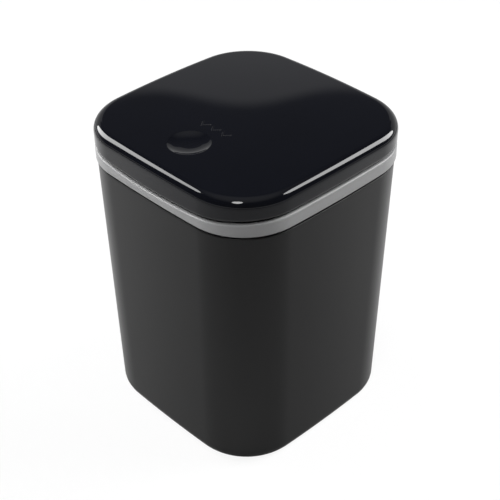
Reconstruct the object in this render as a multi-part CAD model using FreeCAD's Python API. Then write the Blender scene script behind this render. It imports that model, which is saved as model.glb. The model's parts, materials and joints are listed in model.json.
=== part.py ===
import FreeCAD, Part
import math
import os

# Desktop trash can with a press-open lid, as separate moulded, turned and wound pieces.
# Lengths are in millimetres and angles in degrees.
# The origin is the middle of the foot, +Z is up, the front is -Y and the hinge runs along the rear.

Vec = FreeCAD.Vector

# Plan shared by bin, collar and lid: four slightly bowed sides that run into round corners
WIDTH = 134.6
CORNER_RADIUS = 34.4
SIDE_RADIUS = 886.0

# Bin
BIN_HEIGHT = 156.3
BIN_SETBACK = 0.6
BIN_TAPER = 3.0
BIN_WALL = 2.0
BIN_FLOOR = 2.8
BASE_ROUND = 5.8
RIM_ROUND = 0.5
FOOT_WIDTH = 5.0
FOOT_RECESS = 0.8

# Collar
RIM_GAP = 1.65
SEAT_WIDTH = 0.6
BAND_HEIGHT = 7.55
BAND_WALL = 2.6
BAND_ROUND = 0.5
DECK_THICKNESS = 2.5
DECK_WIDTH = 9.3
SPIGOT_LENGTH = 12.0
SPIGOT_WALL = 2.0
SPIGOT_CLEARANCE = 0.5

# Lid cover, with the dip of the parting line between lid and collar along the front
PUSH_GAP = 1.4
FRONT_DIP = 3.2
DIP_POWER = 1.5
DIP_STEPS = 8
LID_HEIGHT = 13.4
LID_CROWN = 1.2
LID_WALL = 2.2
LID_ROOF = 2.4
LID_TOP_ROUND = 5.3
LID_LOW_ROUND = 2.0
DISH_SETBACK = 27.3
DISH_DIAMETER = 23.0
DISH_DEPTH = 1.8
DISH_PAD_MARGIN = 2.5
MARK_SETBACK = 45.8
MARK_WIDTH = 5.6
MARK_LENGTH = 6.0
MARK_STROKE = 1.3
MARK_PITCH = 7.6
MARK_COUNT = 3
MARK_RELIEF = 0.15
LID_BOSS_SETBACK = 27.3
LID_BOSS_DIAMETER = 6.4

# Lid liner
LINER_RECESS = 2.6
LINER_THICKNESS = 1.8
LINER_CLEARANCE = 0.4
CAM_BOSS_DIAMETER = 5.4
CAM_BOSS_HEIGHT = 3.6

# Hinge
HINGE_SETBACK = 6.2
HINGE_RISE = 4.5
HINGE_SPAN = 62.0
PIN_DIAMETER = 2.5
PIN_CHAMFER = 0.3
KNUCKLE_DIAMETER = 6.0
KNUCKLE_WIDTH = 5.0
EAR_WIDTH = 5.0
SIDE_PLAY = 0.4
STEM_RELIEF = 0.2
NOTCH_RELIEF = 0.5
CUTOUT_DEPTH = 5.8
CUTOUT_MARGIN = 1.5
BRIDGE_DEPTH = 6.0

# Hinge springs
WIRE_DIAMETER = 0.8
COIL_RADIUS = 2.4
COIL_PITCH = 1.3
COIL_FULL_TURNS = 9
LEG_OVERHANG = 4.0
LEG_SINK = 1.4
LEG_CLEARANCE = 0.2
QUARTER_TURN = 90.0
POINTS_PER_TURN = 36

# Latch: a cam on the lid, and a follower arm that hangs in a housing on the collar
PRESS_ANGLE = 0.5
CAM_SETBACK = 9.7
CAM_THICKNESS = 4.0
CAM_LENGTH = 28.55
CAM_FLANGE_WIDTH = 25.0
CAM_FLANGE_DEPTH = 7.0
CAM_FLANGE_THICKNESS = 1.8
CAM_SCREW_SPACING = 18.6
TRACK_DEPTH = 2.2
TRACK_PLAY = 0.45
TRACK_SIDE_WALL = 1.9
CUP_DEPTH = 1.0
ISLAND_TIP_RISE = 1.8
LATCH_PLAY = 0.6
ARM_LENGTH = 9.0
ARM_THICKNESS = 2.4
ARM_WIDTH = 4.0
ARM_HUB_DIAMETER = 7.2
LANE_OFFSET = 3.0
FOLLOWER_DIAMETER = 1.8
PIVOT_DROP = 4.2
PIVOT_DIAMETER = 2.5
PIVOT_HEAD_DIAMETER = 4.4
PIVOT_HEAD_HEIGHT = 0.8
HOUSING_WALL = 2.0
HOUSING_SIDE_ROOM = 2.2
COVER_THICKNESS = 2.2
COVER_GAP = 0.4
COVER_MARGIN = 4.6
COVER_CORNER = 2.0
COVER_BOSS_DIAMETER = 5.6
COVER_SCREW_DROP = 10.0
COVER_SCREW_LENGTH = 8.0

# Screws
SCREW_DIAMETER = 2.5
SCREW_HEAD_DIAMETER = 4.8
SCREW_HEAD_HEIGHT = 1.5
SCREW_SLOT_WIDTH = 0.8
SCREW_SLOT_LENGTH = 3.0
SCREW_SLOT_DEPTH = 0.7
LID_SCREW_LENGTH = 6.8
CAM_SCREW_LENGTH = 6.6
SCREW_HOLE_CLEARANCE = 0.25

# Clearances and overruns
RUN_CLEARANCE = 0.06
FIT_CLEARANCE = 0.03
TOUCH_CLEARANCE = 0.15
OVERRUN = 1.0
LEVEL_TOLERANCE = 1e-4

# Shares of the track's half width and height that place the ceiling's teeth
CEILING_SHARES = ((-1.0, 0.25), (-0.28, 0.0), (-0.05, 0.5), (0.32, 0.0), (1.0, 0.4))
CEILING_TOOTH = 2.0
# Share of the island's half width at its off-centre lower tip, and share of its height for its shoulders
ISLAND_TIP_SHARE = 0.4
ISLAND_SHOULDER_SHARE = 0.45
# Share of a chevron's length taken by the slope of its arms
CHEVRON_SLOPE_SHARE = 0.55

# Heights and places that follow from the sizes above
HALF = WIDTH / 2
DECK_LOW = BIN_HEIGHT + RIM_GAP
DECK_TOP = DECK_LOW + DECK_THICKNESS
BAND_TOP = DECK_LOW + BAND_HEIGHT
LID_LOW = BAND_TOP + PUSH_GAP
LID_TOP = LID_LOW + LID_HEIGHT
ROOF_LOW = LID_TOP - LID_CROWN - LID_ROOF
LINER_LOW = LID_LOW + LINER_RECESS
LINER_TOP = LINER_LOW + LINER_THICKNESS
CROWN_RADIUS = (HALF ** 2 + LID_CROWN ** 2) / (2 * LID_CROWN)
LID_BOSS_REACH = HALF - LID_BOSS_SETBACK

HINGE_Y = HALF - HINGE_SETBACK
HINGE_Z = LID_LOW + HINGE_RISE
HINGE_END = HINGE_SPAN / 2
EAR_INNER = HINGE_END - EAR_WIDTH
KNUCKLE_OUTER = EAR_INNER - SIDE_PLAY
KNUCKLE_INNER = KNUCKLE_OUTER - KNUCKLE_WIDTH
KNUCKLE_RADIUS = KNUCKLE_DIAMETER / 2
CUTOUT_FRONT = HINGE_Y - CUTOUT_DEPTH
CUTOUT_HALF = HINGE_END + CUTOUT_MARGIN
BRIDGE_FRONT = HINGE_Y - BRIDGE_DEPTH

CAM_FRONT = CAM_SETBACK - HALF
CAM_REAR = CAM_FRONT + CAM_THICKNESS
CAM_LOW = LINER_LOW - CAM_LENGTH
CAM_REACH = HINGE_Y - CAM_FRONT
CAM_SWING = math.hypot(CAM_REACH, HINGE_Z - CAM_LOW) - CAM_REACH
PRESS_DROP = CAM_REACH * math.sin(math.radians(PRESS_ANGLE))
FOLLOWER_RADIUS = FOLLOWER_DIAMETER / 2
TRACK_HALF = LANE_OFFSET + FOLLOWER_RADIUS + TRACK_PLAY
ISLAND_HALF = LANE_OFFSET - FOLLOWER_RADIUS - TRACK_PLAY
CAM_HALF = TRACK_HALF + TRACK_SIDE_WALL
ARM_FRONT = CAM_REAR + LATCH_PLAY
ARM_REAR = ARM_FRONT + ARM_THICKNESS
FOLLOWER_TIP = CAM_REAR - TRACK_DEPTH + LATCH_PLAY
REST_LEAN = math.degrees(math.asin(LANE_OFFSET / ARM_LENGTH))
PIVOT_Z = DECK_TOP - PIVOT_DROP
PIVOT = Vec(0, 0, PIVOT_Z)
HORN_Z = PIVOT_Z - ARM_LENGTH - FOLLOWER_RADIUS - TRACK_PLAY
LANE_Z = PIVOT_Z - ARM_LENGTH * math.cos(math.radians(REST_LEAN))
CEILING_Z = LANE_Z + FOLLOWER_RADIUS + PRESS_DROP + TRACK_PLAY
CAVITY_HALF = CAM_HALF + HOUSING_SIDE_ROOM
CAVITY_FRONT = CAM_FRONT - CAM_SWING - LATCH_PLAY
CAVITY_LOW = CAM_LOW - PRESS_DROP - LATCH_PLAY
HOUSING_HALF = CAVITY_HALF + HOUSING_WALL
HOUSING_LOW = CAVITY_LOW - HOUSING_WALL
COVER_FRONT = ARM_REAR + COVER_GAP
COVER_REAR = COVER_FRONT + COVER_THICKNESS
COVER_HALF = HOUSING_HALF + COVER_MARGIN
COVER_SCREW_X = HOUSING_HALF + COVER_BOSS_DIAMETER / 4
COVER_SCREW_Z = DECK_TOP - COVER_SCREW_DROP


def bin_draw(z):
    """How far the bin's drafted sides are drawn in from the full width at height z."""
    return BIN_SETBACK + BIN_TAPER * (1 - z / BIN_HEIGHT)


SPIGOT_INSET = bin_draw(min(HOUSING_LOW, BIN_HEIGHT - SPIGOT_LENGTH)) + BIN_WALL + SPIGOT_CLEARANCE


def plan_point(quarter, centre, radius, angle, z):
    """Point of one arc of the plan, turned on by a number of quarter turns."""
    x = centre[0] + radius * math.sin(angle)
    y = centre[1] + radius * math.cos(angle)
    for _ in range(quarter):
        x, y = y, -x
    return Vec(x, y, z)


def plan_centres(draw):
    """Distances of a side's and a corner's centre from the middle, with the sides drawn in."""
    side = SIDE_RADIUS - HALF + draw
    corner = (math.sqrt(2 * (SIDE_RADIUS - CORNER_RADIUS) ** 2 - side ** 2) - side) / 2
    return side, corner


def plan_wire(inset, z, draw=0):
    """Closed plan of eight tangent arcs: sides drawn in with their radii kept, then set in all round."""
    side, corner = plan_centres(draw)
    side_end = math.atan2(corner, corner + side)
    corner_end = math.pi / 2 - side_end
    arcs = (
        ((0, -side), SIDE_RADIUS - inset, -side_end, side_end),
        ((corner, corner), CORNER_RADIUS - inset, side_end, corner_end),
    )
    edges = []
    for quarter in range(4):
        for centre, radius, start, end in arcs:
            angles = (start, (start + end) / 2, end)
            points = [plan_point(quarter, centre, radius, angle, z) for angle in angles]
            edges.append(Part.Arc(*points).toShape())
    return Part.Wire(edges)


def plan_prism(inset, low, high, draw=0):
    """Upright block with the shared plan."""
    return Part.Face(plan_wire(inset, low, draw)).extrude(Vec(0, 0, high - low))


def plan_ring(outer_inset, inner_inset, low, high):
    """Upright wall between two insets of the shared plan."""
    outer = plan_prism(outer_inset, low, high)
    return outer.cut(plan_prism(inner_inset, low - OVERRUN, high + OVERRUN))


def drafted_block(offset, low, high):
    """Block with the bin's draft, set in from the bin's outer face by an offset."""
    wires = [plan_wire(offset, z, bin_draw(z)) for z in (low, high)]
    return Part.makeLoft(wires, True, True)


def level_edges(shape, z):
    """Edges that lie flat at one height."""
    def flat(edge):
        box = edge.BoundBox
        return abs(box.ZMin - z) < LEVEL_TOLERANCE and abs(box.ZMax - z) < LEVEL_TOLERANCE
    return [edge for edge in shape.Edges if flat(edge)]


def rounded_level(shape, z, radius):
    """The shape with its edges at one height rounded."""
    return shape.makeFillet(radius, level_edges(shape, z))


def wall_edges(shape, low, high):
    """Edges of the upright round walls that lie between two heights."""
    walls = [face for face in shape.Faces if isinstance(face.Surface, Part.Cylinder)]
    upright = [face for face in walls if abs(face.Surface.Axis.z) > 1 - LEVEL_TOLERANCE]
    edges = [edge for face in upright for edge in face.Edges]
    return [edge for edge in edges if edge.BoundBox.ZMin > low and edge.BoundBox.ZMax < high]


def front_dip(level):
    """Block over the front half, from the dip of the parting line to just above its level."""
    reach = HALF - BAND_WALL
    shares = [step / DIP_STEPS for step in range(-DIP_STEPS, DIP_STEPS + 1)]
    depths = [FRONT_DIP * (1 - share ** 2) ** DIP_POWER for share in shares]
    points = [Vec(reach * share, -WIDTH, level - depth) for share, depth in zip(shares, depths)]
    curve = Part.BSplineCurve()
    curve.interpolate(Points=points, InitialTangent=Vec(1, 0, 0), FinalTangent=Vec(1, 0, 0))
    rise = Vec(0, 0, OVERRUN)
    sides = Part.makePolygon([points[-1], points[-1] + rise, points[0] + rise, points[0]])
    return Part.Face(Part.Wire([curve.toShape()] + sides.Edges)).extrude(Vec(0, WIDTH, 0))


def box(x_range, y_range, z_range):
    """Block between two corners, given as a range along each axis."""
    ranges = (x_range, y_range, z_range)
    low = Vec(*[min(pair) for pair in ranges])
    sides = [abs(pair[1] - pair[0]) for pair in ranges]
    return Part.makeBox(*sides, low)


def cylinder_x(radius, x_range):
    """Cylinder on the hinge axis."""
    low = min(x_range)
    return Part.makeCylinder(radius, max(x_range) - low, Vec(low, HINGE_Y, HINGE_Z), Vec(1, 0, 0))


def cylinder_y(radius, x, z, y_range):
    """Cylinder that runs from front to rear."""
    low = min(y_range)
    return Part.makeCylinder(radius, max(y_range) - low, Vec(x, low, z), Vec(0, 1, 0))


def cylinder_z(radius, x, y, z_range):
    """Upright cylinder."""
    low = min(z_range)
    return Part.makeCylinder(radius, max(z_range) - low, Vec(x, y, low), Vec(0, 0, 1))


def joined(shapes):
    """One solid fused from touching pieces of the same moulding."""
    return shapes[0].multiFuse(shapes[1:]).removeSplitter()


def upright_prism(points, low, high):
    """Prism on a closed outline of (x, y) points."""
    corners = [Vec(x, y, low) for x, y in points]
    return Part.Face(Part.makePolygon(corners + corners[:1])).extrude(Vec(0, 0, high - low))


def bin_body():
    """Drafted tub with a rounded base, a foot ring and a plain rim."""
    outer = rounded_level(drafted_block(0, 0, BIN_HEIGHT), 0, BASE_ROUND)
    outer = rounded_level(outer, BIN_HEIGHT, RIM_ROUND)
    hollow = drafted_block(BIN_WALL, BIN_FLOOR, BIN_HEIGHT + OVERRUN)
    hollow = rounded_level(hollow, BIN_FLOOR, max(BASE_ROUND - BIN_WALL, RIM_ROUND))
    recess = plan_prism(BASE_ROUND + FOOT_WIDTH, -OVERRUN, FOOT_RECESS, bin_draw(0))
    return outer.cut(hollow).cut(recess)


def collar_frame():
    """Band, deck, spigot and its seat on the bin's rim, with the open mouth."""
    block = plan_prism(0, DECK_LOW, BAND_TOP).cut(front_dip(BAND_TOP))
    block = block.makeFillet(BAND_ROUND, wall_edges(block, DECK_TOP, BAND_TOP + OVERRUN))
    block = rounded_level(block, DECK_LOW, BAND_ROUND)
    block = block.cut(plan_prism(BAND_WALL, DECK_TOP, BAND_TOP + OVERRUN))
    block = block.cut(plan_prism(DECK_WIDTH, DECK_LOW - OVERRUN, BAND_TOP + OVERRUN))
    spigot_end = SPIGOT_INSET + SPIGOT_WALL
    spigot = plan_ring(SPIGOT_INSET, spigot_end, BIN_HEIGHT - SPIGOT_LENGTH, DECK_TOP)
    seat = plan_ring(BIN_SETBACK + BIN_WALL - SEAT_WIDTH, spigot_end, BIN_HEIGHT, DECK_TOP)
    return [block, spigot, seat]


def hinge_bridge():
    """Wider deck at the rear, and the two ears that hold the hinge pin."""
    bridge_range = (BRIDGE_FRONT, HALF - BAND_WALL - SIDE_PLAY)
    pieces = [box((-CUTOUT_HALF, CUTOUT_HALF), bridge_range, (DECK_LOW, DECK_TOP))]
    for side in (-1, 1):
        span = (side * EAR_INNER, side * HINGE_END)
        stem_range = (HINGE_Y - KNUCKLE_RADIUS, HINGE_Y - STEM_RELIEF)
        pieces.append(box(span, stem_range, (DECK_LOW, HINGE_Z)))
        pieces.append(cylinder_x(KNUCKLE_RADIUS, span))
    return pieces


def latch_housing():
    """Pocket at the front of the collar, trimmed to the spigot's face, with two screw bosses."""
    limit = plan_prism(SPIGOT_INSET, HOUSING_LOW, DECK_TOP)
    pocket = box((-HOUSING_HALF, HOUSING_HALF), (-HALF, COVER_FRONT), (HOUSING_LOW, DECK_TOP))
    bosses = [
        cylinder_y(COVER_BOSS_DIAMETER / 2, side * COVER_SCREW_X, COVER_SCREW_Z, (-HALF, COVER_FRONT))
        for side in (-1, 1)
    ]
    return [piece.common(limit) for piece in [pocket] + bosses]


def collar_ring():
    """Collar moulding: frame, hinge bridge and latch housing, with its bores."""
    solid = joined(collar_frame() + hinge_bridge() + latch_housing())
    cavity_y = (CAVITY_FRONT, COVER_FRONT + OVERRUN)
    cavity = box((-CAVITY_HALF, CAVITY_HALF), cavity_y, (CAVITY_LOW, BAND_TOP))
    cuts = [cavity, cylinder_x(PIN_DIAMETER / 2 + FIT_CLEARANCE, (-HINGE_SPAN, HINGE_SPAN))]
    for side in (-1, 1):
        depth = (COVER_REAR - COVER_SCREW_LENGTH - OVERRUN, COVER_FRONT + OVERRUN)
        pilot = SCREW_DIAMETER / 2 + FIT_CLEARANCE
        cuts.append(cylinder_y(pilot, side * COVER_SCREW_X, COVER_SCREW_Z, depth))
        anchor = WIRE_DIAMETER / 2 + LEG_CLEARANCE
        through = (DECK_LOW - OVERRUN, DECK_TOP + OVERRUN)
        cuts.append(cylinder_z(anchor, side * spring_start(), HINGE_Y - COIL_RADIUS, through))
    return solid.cut(cuts)


def hinge_pin():
    """Plain steel pin through both ears and both knuckles."""
    pin = cylinder_x(PIN_DIAMETER / 2, (-HINGE_END, HINGE_END))
    ends = [edge for edge in pin.Edges if isinstance(edge.Curve, Part.Circle)]
    return pin.makeChamfer(PIN_CHAMFER, ends)


def leg_contact():
    """Where a spring's upper leg passes under the edge of the liner's cut-out, from the hinge axis."""
    gap = WIRE_DIAMETER / 2 + TOUCH_CLEARANCE
    return CUTOUT_FRONT - HINGE_Y, LINER_LOW - gap - HINGE_Z


def coil_sweep():
    """Angle in degrees from the upright lower leg, over the coil, to the upper leg's tangent point."""
    y, z = leg_contact()
    tangent = math.degrees(math.atan2(z, y) + math.acos(COIL_RADIUS / math.hypot(y, z)))
    return 180 - tangent + COIL_FULL_TURNS * 360


def spring_start():
    """Distance of a spring's lower leg from the middle, so that the coil ends beside the knuckle."""
    coil = COIL_PITCH * coil_sweep() / 360
    return KNUCKLE_INNER - SIDE_PLAY - WIRE_DIAMETER / 2 - coil


def coil_point(turned):
    """Point and direction of the coil after a sweep in degrees from its lower leg."""
    angle = math.radians(180 - turned)
    rise = COIL_PITCH / (2 * math.pi)
    x = spring_start() + rise * math.radians(turned)
    point = Vec(x, HINGE_Y + COIL_RADIUS * math.cos(angle), HINGE_Z + COIL_RADIUS * math.sin(angle))
    direction = Vec(rise, COIL_RADIUS * math.sin(angle), -COIL_RADIUS * math.cos(angle))
    return point, direction.normalize()


def tangent_arc(start, corner, end):
    """Arc that leaves start towards corner and reaches end from corner, both equally far from it."""
    weight = (end - start).Length / 2 / (corner - start).Length
    middle = (start + corner * (2 * weight) + end) * (1 / (2 + 2 * weight))
    return Part.Arc(start, middle, end).toShape()


def biarc(start, start_direction, end, end_direction):
    """Two arcs that join two points with given directions and share a tangent where they meet."""
    chord = end - start
    both = start_direction + end_direction
    a = both.dot(both) - 4
    b = -2 * chord.dot(both)
    reach = (-b - math.sqrt(b * b - 4 * a * chord.dot(chord))) / (2 * a)
    first = start + start_direction * reach
    second = end - end_direction * reach
    meeting = (first + second) * 0.5
    return [tangent_arc(start, first, meeting), tangent_arc(meeting, second, end)]


def spring_path():
    """Wire of the right spring: upright lower leg, coil in quarter turns, upper leg under the liner."""
    sweep = coil_sweep()
    steps = math.ceil(sweep / QUARTER_TURN)
    places = [coil_point(sweep * step / steps) for step in range(steps + 1)]
    contact_y, contact_z = leg_contact()
    last = places[-1][0]
    leg = Vec(0, contact_y + HINGE_Y - last.y, contact_z + HINGE_Z - last.z)
    places[0] = (places[0][0], Vec(0, 0, 1))
    places[-1] = (last, Vec(leg).normalize())
    foot = Vec(places[0][0].x, places[0][0].y, DECK_TOP - LEG_SINK)
    edges = [Part.makeLine(foot, places[0][0])]
    for (start, start_direction), (end, end_direction) in zip(places, places[1:]):
        edges += biarc(start, start_direction, end, end_direction)
    edges.append(Part.makeLine(last, last + leg + places[-1][1] * LEG_OVERHANG))
    return Part.Wire(edges)


def spring_gap(path):
    """Least free space between neighbouring turns, measured on points of the wire's centre line."""
    count = COIL_FULL_TURNS * POINTS_PER_TURN
    points = path.discretize(count)
    spacing = path.Length / (count - 1)
    apart = math.ceil(math.pi * COIL_RADIUS / spacing)
    nearest = min(
        points[i].distanceToPoint(points[j]) for i in range(count) for j in range(i + apart, count)
    )
    return nearest - WIRE_DIAMETER


def hinge_springs():
    """The two torsion springs, wound as mirror images from one unbroken wire each."""
    path = spring_path()
    print("least gap between spring turns", round(spring_gap(path), 3), "mm")
    start = path.Edges[0].Vertexes[0].Point
    section = Part.Wire(Part.makeCircle(WIRE_DIAMETER / 2, start, Vec(0, 0, 1)))
    right = Part.Solid(path.makePipeShell([section], True, False))
    return right.mirror(Vec(0, 0, 0), Vec(1, 0, 0)), right


def lid_shell():
    """Crowned shell with a deeper front, a rounded top edge and a rounded lower edge."""
    crown = Part.makeSphere(CROWN_RADIUS, Vec(0, 0, LID_TOP - CROWN_RADIUS))
    lip_low = LID_LOW - FRONT_DIP - OVERRUN
    lip = plan_prism(0, lip_low, LID_LOW + OVERRUN).common(front_dip(LID_LOW))
    outer = joined([plan_prism(0, LID_LOW, LID_TOP + OVERRUN).common(crown), lip])
    top = next(face for face in outer.Faces if isinstance(face.Surface, Part.Sphere))
    outer = outer.makeFillet(LID_TOP_ROUND, top.OuterWire.Edges)
    low_edges = wall_edges(outer, lip_low, LID_LOW + OVERRUN)
    outer = outer.makeFillet(min(LID_LOW_ROUND, LID_WALL - TOUCH_CLEARANCE), low_edges)
    hollow = plan_prism(LID_WALL, lip_low, ROOF_LOW)
    hollow = rounded_level(hollow, ROOF_LOW, LID_TOP_ROUND - LID_WALL)
    return outer.cut(hollow)


def crown_height(y):
    """Height of the lid's crowned top on its middle line."""
    return LID_TOP - CROWN_RADIUS + math.sqrt(CROWN_RADIUS ** 2 - y ** 2)


def thumb_dish():
    """Ball that hollows the thumb dish into the lid's top."""
    y = DISH_SETBACK - HALF
    radius = ((DISH_DIAMETER / 2) ** 2 + DISH_DEPTH ** 2) / (2 * DISH_DEPTH)
    return Part.makeSphere(radius, Vec(0, y, crown_height(y) - DISH_DEPTH + radius))


def press_marks():
    """Row of raised chevrons behind the dish that point at it."""
    y = MARK_SETBACK - HALF
    low = y - MARK_LENGTH / 2
    slope = MARK_LENGTH * CHEVRON_SLOPE_SHARE
    half = MARK_WIDTH / 2
    top = low + slope
    rise = MARK_LENGTH - slope
    marks = []
    for index in range(MARK_COUNT):
        x = (index - (MARK_COUNT - 1) / 2) * MARK_PITCH
        points = (
            (x, low),
            (x + half, top),
            (x + half, top + min(MARK_STROKE, rise)),
            (x, low + min(MARK_STROKE, rise)),
            (x - half, top + min(MARK_STROKE, rise)),
            (x - half, top),
        )
        marks.append(upright_prism(points, ROOF_LOW + LID_ROOF / 2, crown_height(y) + MARK_RELIEF))
    return marks


def lid_boss_places():
    """Plan places of the four bosses that hold the liner."""
    return [(sx * LID_BOSS_REACH, sy * LID_BOSS_REACH) for sx in (-1, 1) for sy in (-1, 1)]


def lid_cover():
    """Outer lid moulding with its thumb dish, raised marks, bosses and rear hinge notch."""
    dish_y = DISH_SETBACK - HALF
    pad_range = (ROOF_LOW - DISH_DEPTH, ROOF_LOW + LID_ROOF / 2)
    pad = cylinder_z(DISH_DIAMETER / 2 + DISH_PAD_MARGIN, 0, dish_y, pad_range)
    boss_range = (LINER_TOP, ROOF_LOW + LID_ROOF / 2)
    bosses = [cylinder_z(LID_BOSS_DIAMETER / 2, x, y, boss_range) for x, y in lid_boss_places()]
    solid = joined([lid_shell(), pad] + bosses + press_marks())
    corner = plan_centres(0)[1]
    notch_half = corner + math.sqrt(CORNER_RADIUS ** 2 - (HINGE_Y - corner) ** 2)
    notch = box((-notch_half, notch_half), (HINGE_Y, WIDTH), (LID_LOW - OVERRUN, HINGE_Z - NOTCH_RELIEF))
    depth = (LINER_TOP - OVERRUN, LINER_LOW + LID_SCREW_LENGTH + TOUCH_CLEARANCE)
    pilot = SCREW_DIAMETER / 2 + FIT_CLEARANCE
    pilots = [cylinder_z(pilot, x, y, depth) for x, y in lid_boss_places()]
    return solid.cut([thumb_dish(), notch] + pilots)


def cam_screw_places():
    """Plan places of the two screws that hold the cam under the liner."""
    y = (CAM_FRONT + CAM_REAR) / 2
    return [(side * CAM_SCREW_SPACING / 2, y) for side in (-1, 1)]


def lid_liner():
    """Inner lid plate with the hinge knuckles and the bosses for the cam."""
    plate = plan_prism(LID_WALL + LINER_CLEARANCE, LINER_LOW, LINER_TOP)
    through = (LINER_LOW - OVERRUN, LINER_TOP + OVERRUN)
    pieces = [plate.cut(box((-CUTOUT_HALF, CUTOUT_HALF), (CUTOUT_FRONT, WIDTH), through))]
    for side in (-1, 1):
        span = (side * KNUCKLE_INNER, side * KNUCKLE_OUTER)
        web_range = (CUTOUT_FRONT - LINER_THICKNESS, HINGE_Y)
        pieces.append(box(span, web_range, (LINER_LOW, HINGE_Z)))
        pieces.append(cylinder_x(KNUCKLE_RADIUS, span))
    boss_range = (LINER_LOW, LINER_TOP + CAM_BOSS_HEIGHT)
    pieces += [cylinder_z(CAM_BOSS_DIAMETER / 2, x, y, boss_range) for x, y in cam_screw_places()]
    cuts = [cylinder_x(PIN_DIAMETER / 2 + RUN_CLEARANCE, (-HINGE_END, HINGE_END))]
    hole = SCREW_DIAMETER / 2 + SCREW_HOLE_CLEARANCE
    cuts += [cylinder_z(hole, x, y, through) for x, y in lid_boss_places()]
    depth = (LINER_LOW - OVERRUN, LINER_LOW - CAM_FLANGE_THICKNESS + CAM_SCREW_LENGTH + TOUCH_CLEARANCE)
    pilot = SCREW_DIAMETER / 2 + FIT_CLEARANCE
    cuts += [cylinder_z(pilot, x, y, depth) for x, y in cam_screw_places()]
    return joined(pieces).cut(cuts)


def rear_prism(points, y_range):
    """Prism on a closed outline of (x, z) points, between two places from front to rear."""
    low = min(y_range)
    corners = [Vec(x, low, z) for x, z in points]
    return Part.Face(Part.makePolygon(corners + corners[:1])).extrude(Vec(0, max(y_range) - low, 0))


def latch_cam():
    """Tongue under the lid, with two lanes, a toothed ceiling and a cupped island in its rear face."""
    tongue = box((-CAM_HALF, CAM_HALF), (CAM_FRONT, CAM_REAR), (CAM_LOW, LINER_LOW))
    middle = (CAM_FRONT + CAM_REAR) / 2
    half = CAM_FLANGE_WIDTH / 2
    flange_y = (middle - CAM_FLANGE_DEPTH / 2, middle + CAM_FLANGE_DEPTH / 2)
    flange = box((-half, half), flange_y, (LINER_LOW - CAM_FLANGE_THICKNESS, LINER_LOW))
    ceiling = [(TRACK_HALF * x, CEILING_Z + CEILING_TOOTH * z) for x, z in CEILING_SHARES]
    floor_z = CAM_LOW - OVERRUN
    outline = [(-TRACK_HALF, floor_z)] + ceiling + [(TRACK_HALF, floor_z)]
    track = rear_prism(outline, (CAM_REAR - TRACK_DEPTH, CAM_REAR + OVERRUN))
    tip_z = CAM_LOW + ISLAND_TIP_RISE
    shoulder_z = tip_z + (HORN_Z - tip_z) * ISLAND_SHOULDER_SHARE
    island_outline = (
        (-ISLAND_HALF, HORN_Z),
        (0, HORN_Z - CUP_DEPTH),
        (ISLAND_HALF, HORN_Z),
        (ISLAND_HALF, shoulder_z),
        (ISLAND_HALF * ISLAND_TIP_SHARE, tip_z),
        (-ISLAND_HALF, shoulder_z),
    )
    island = rear_prism(island_outline, (CAM_FRONT + TRACK_DEPTH / 2, CAM_REAR))
    hole = SCREW_DIAMETER / 2 + SCREW_HOLE_CLEARANCE
    through = (LINER_LOW - CAM_FLANGE_THICKNESS - OVERRUN, LINER_TOP)
    holes = [cylinder_z(hole, x, y, through) for x, y in cam_screw_places()]
    return joined([joined([tongue, flange]).cut(track), island]).cut(holes)


def latch_arm():
    """Hanging arm with a follower pin, turned from upright to the lane where it lets the lid open."""
    layer = (ARM_FRONT, ARM_REAR)
    hub = cylinder_y(ARM_HUB_DIAMETER / 2, 0, PIVOT_Z, layer)
    bar = box((-ARM_WIDTH / 2, ARM_WIDTH / 2), layer, (PIVOT_Z - ARM_LENGTH, PIVOT_Z))
    end = cylinder_y(ARM_WIDTH / 2, 0, PIVOT_Z - ARM_LENGTH, layer)
    follower = cylinder_y(FOLLOWER_RADIUS, 0, PIVOT_Z - ARM_LENGTH, (FOLLOWER_TIP, ARM_REAR))
    bore = cylinder_y(PIVOT_DIAMETER / 2 + RUN_CLEARANCE, 0, PIVOT_Z, (ARM_FRONT - OVERRUN, COVER_REAR))
    head_range = (ARM_FRONT - OVERRUN, ARM_FRONT + PIVOT_HEAD_HEIGHT + TOUCH_CLEARANCE)
    counterbore = cylinder_y(PIVOT_HEAD_DIAMETER / 2 + LEG_CLEARANCE, 0, PIVOT_Z, head_range)
    arm = joined([hub, bar, end, follower]).cut([bore, counterbore])
    return arm.rotate(PIVOT, Vec(0, 1, 0), -REST_LEAN)


def latch_pivot():
    """Headed pin that carries the arm, pressed into the cover."""
    head = cylinder_y(PIVOT_HEAD_DIAMETER / 2, 0, PIVOT_Z, (ARM_FRONT, ARM_FRONT + PIVOT_HEAD_HEIGHT))
    return joined([head, cylinder_y(PIVOT_DIAMETER / 2, 0, PIVOT_Z, (ARM_FRONT, COVER_REAR))])


def latch_cover():
    """Plate that closes the latch housing and carries the arm's pivot."""
    plate = box((-COVER_HALF, COVER_HALF), (COVER_FRONT, COVER_REAR), (HOUSING_LOW, DECK_TOP))
    upright = [edge for edge in plate.Edges if edge.BoundBox.YLength > COVER_THICKNESS / 2]
    plate = plate.makeFillet(COVER_CORNER, upright)
    through = (COVER_FRONT - OVERRUN, COVER_REAR + OVERRUN)
    hole = SCREW_DIAMETER / 2 + SCREW_HOLE_CLEARANCE
    cuts = [cylinder_y(hole, side * COVER_SCREW_X, COVER_SCREW_Z, through) for side in (-1, 1)]
    cuts.append(cylinder_y(PIVOT_DIAMETER / 2 + FIT_CLEARANCE, 0, PIVOT_Z, through))
    return plate.cut(cuts)


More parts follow.
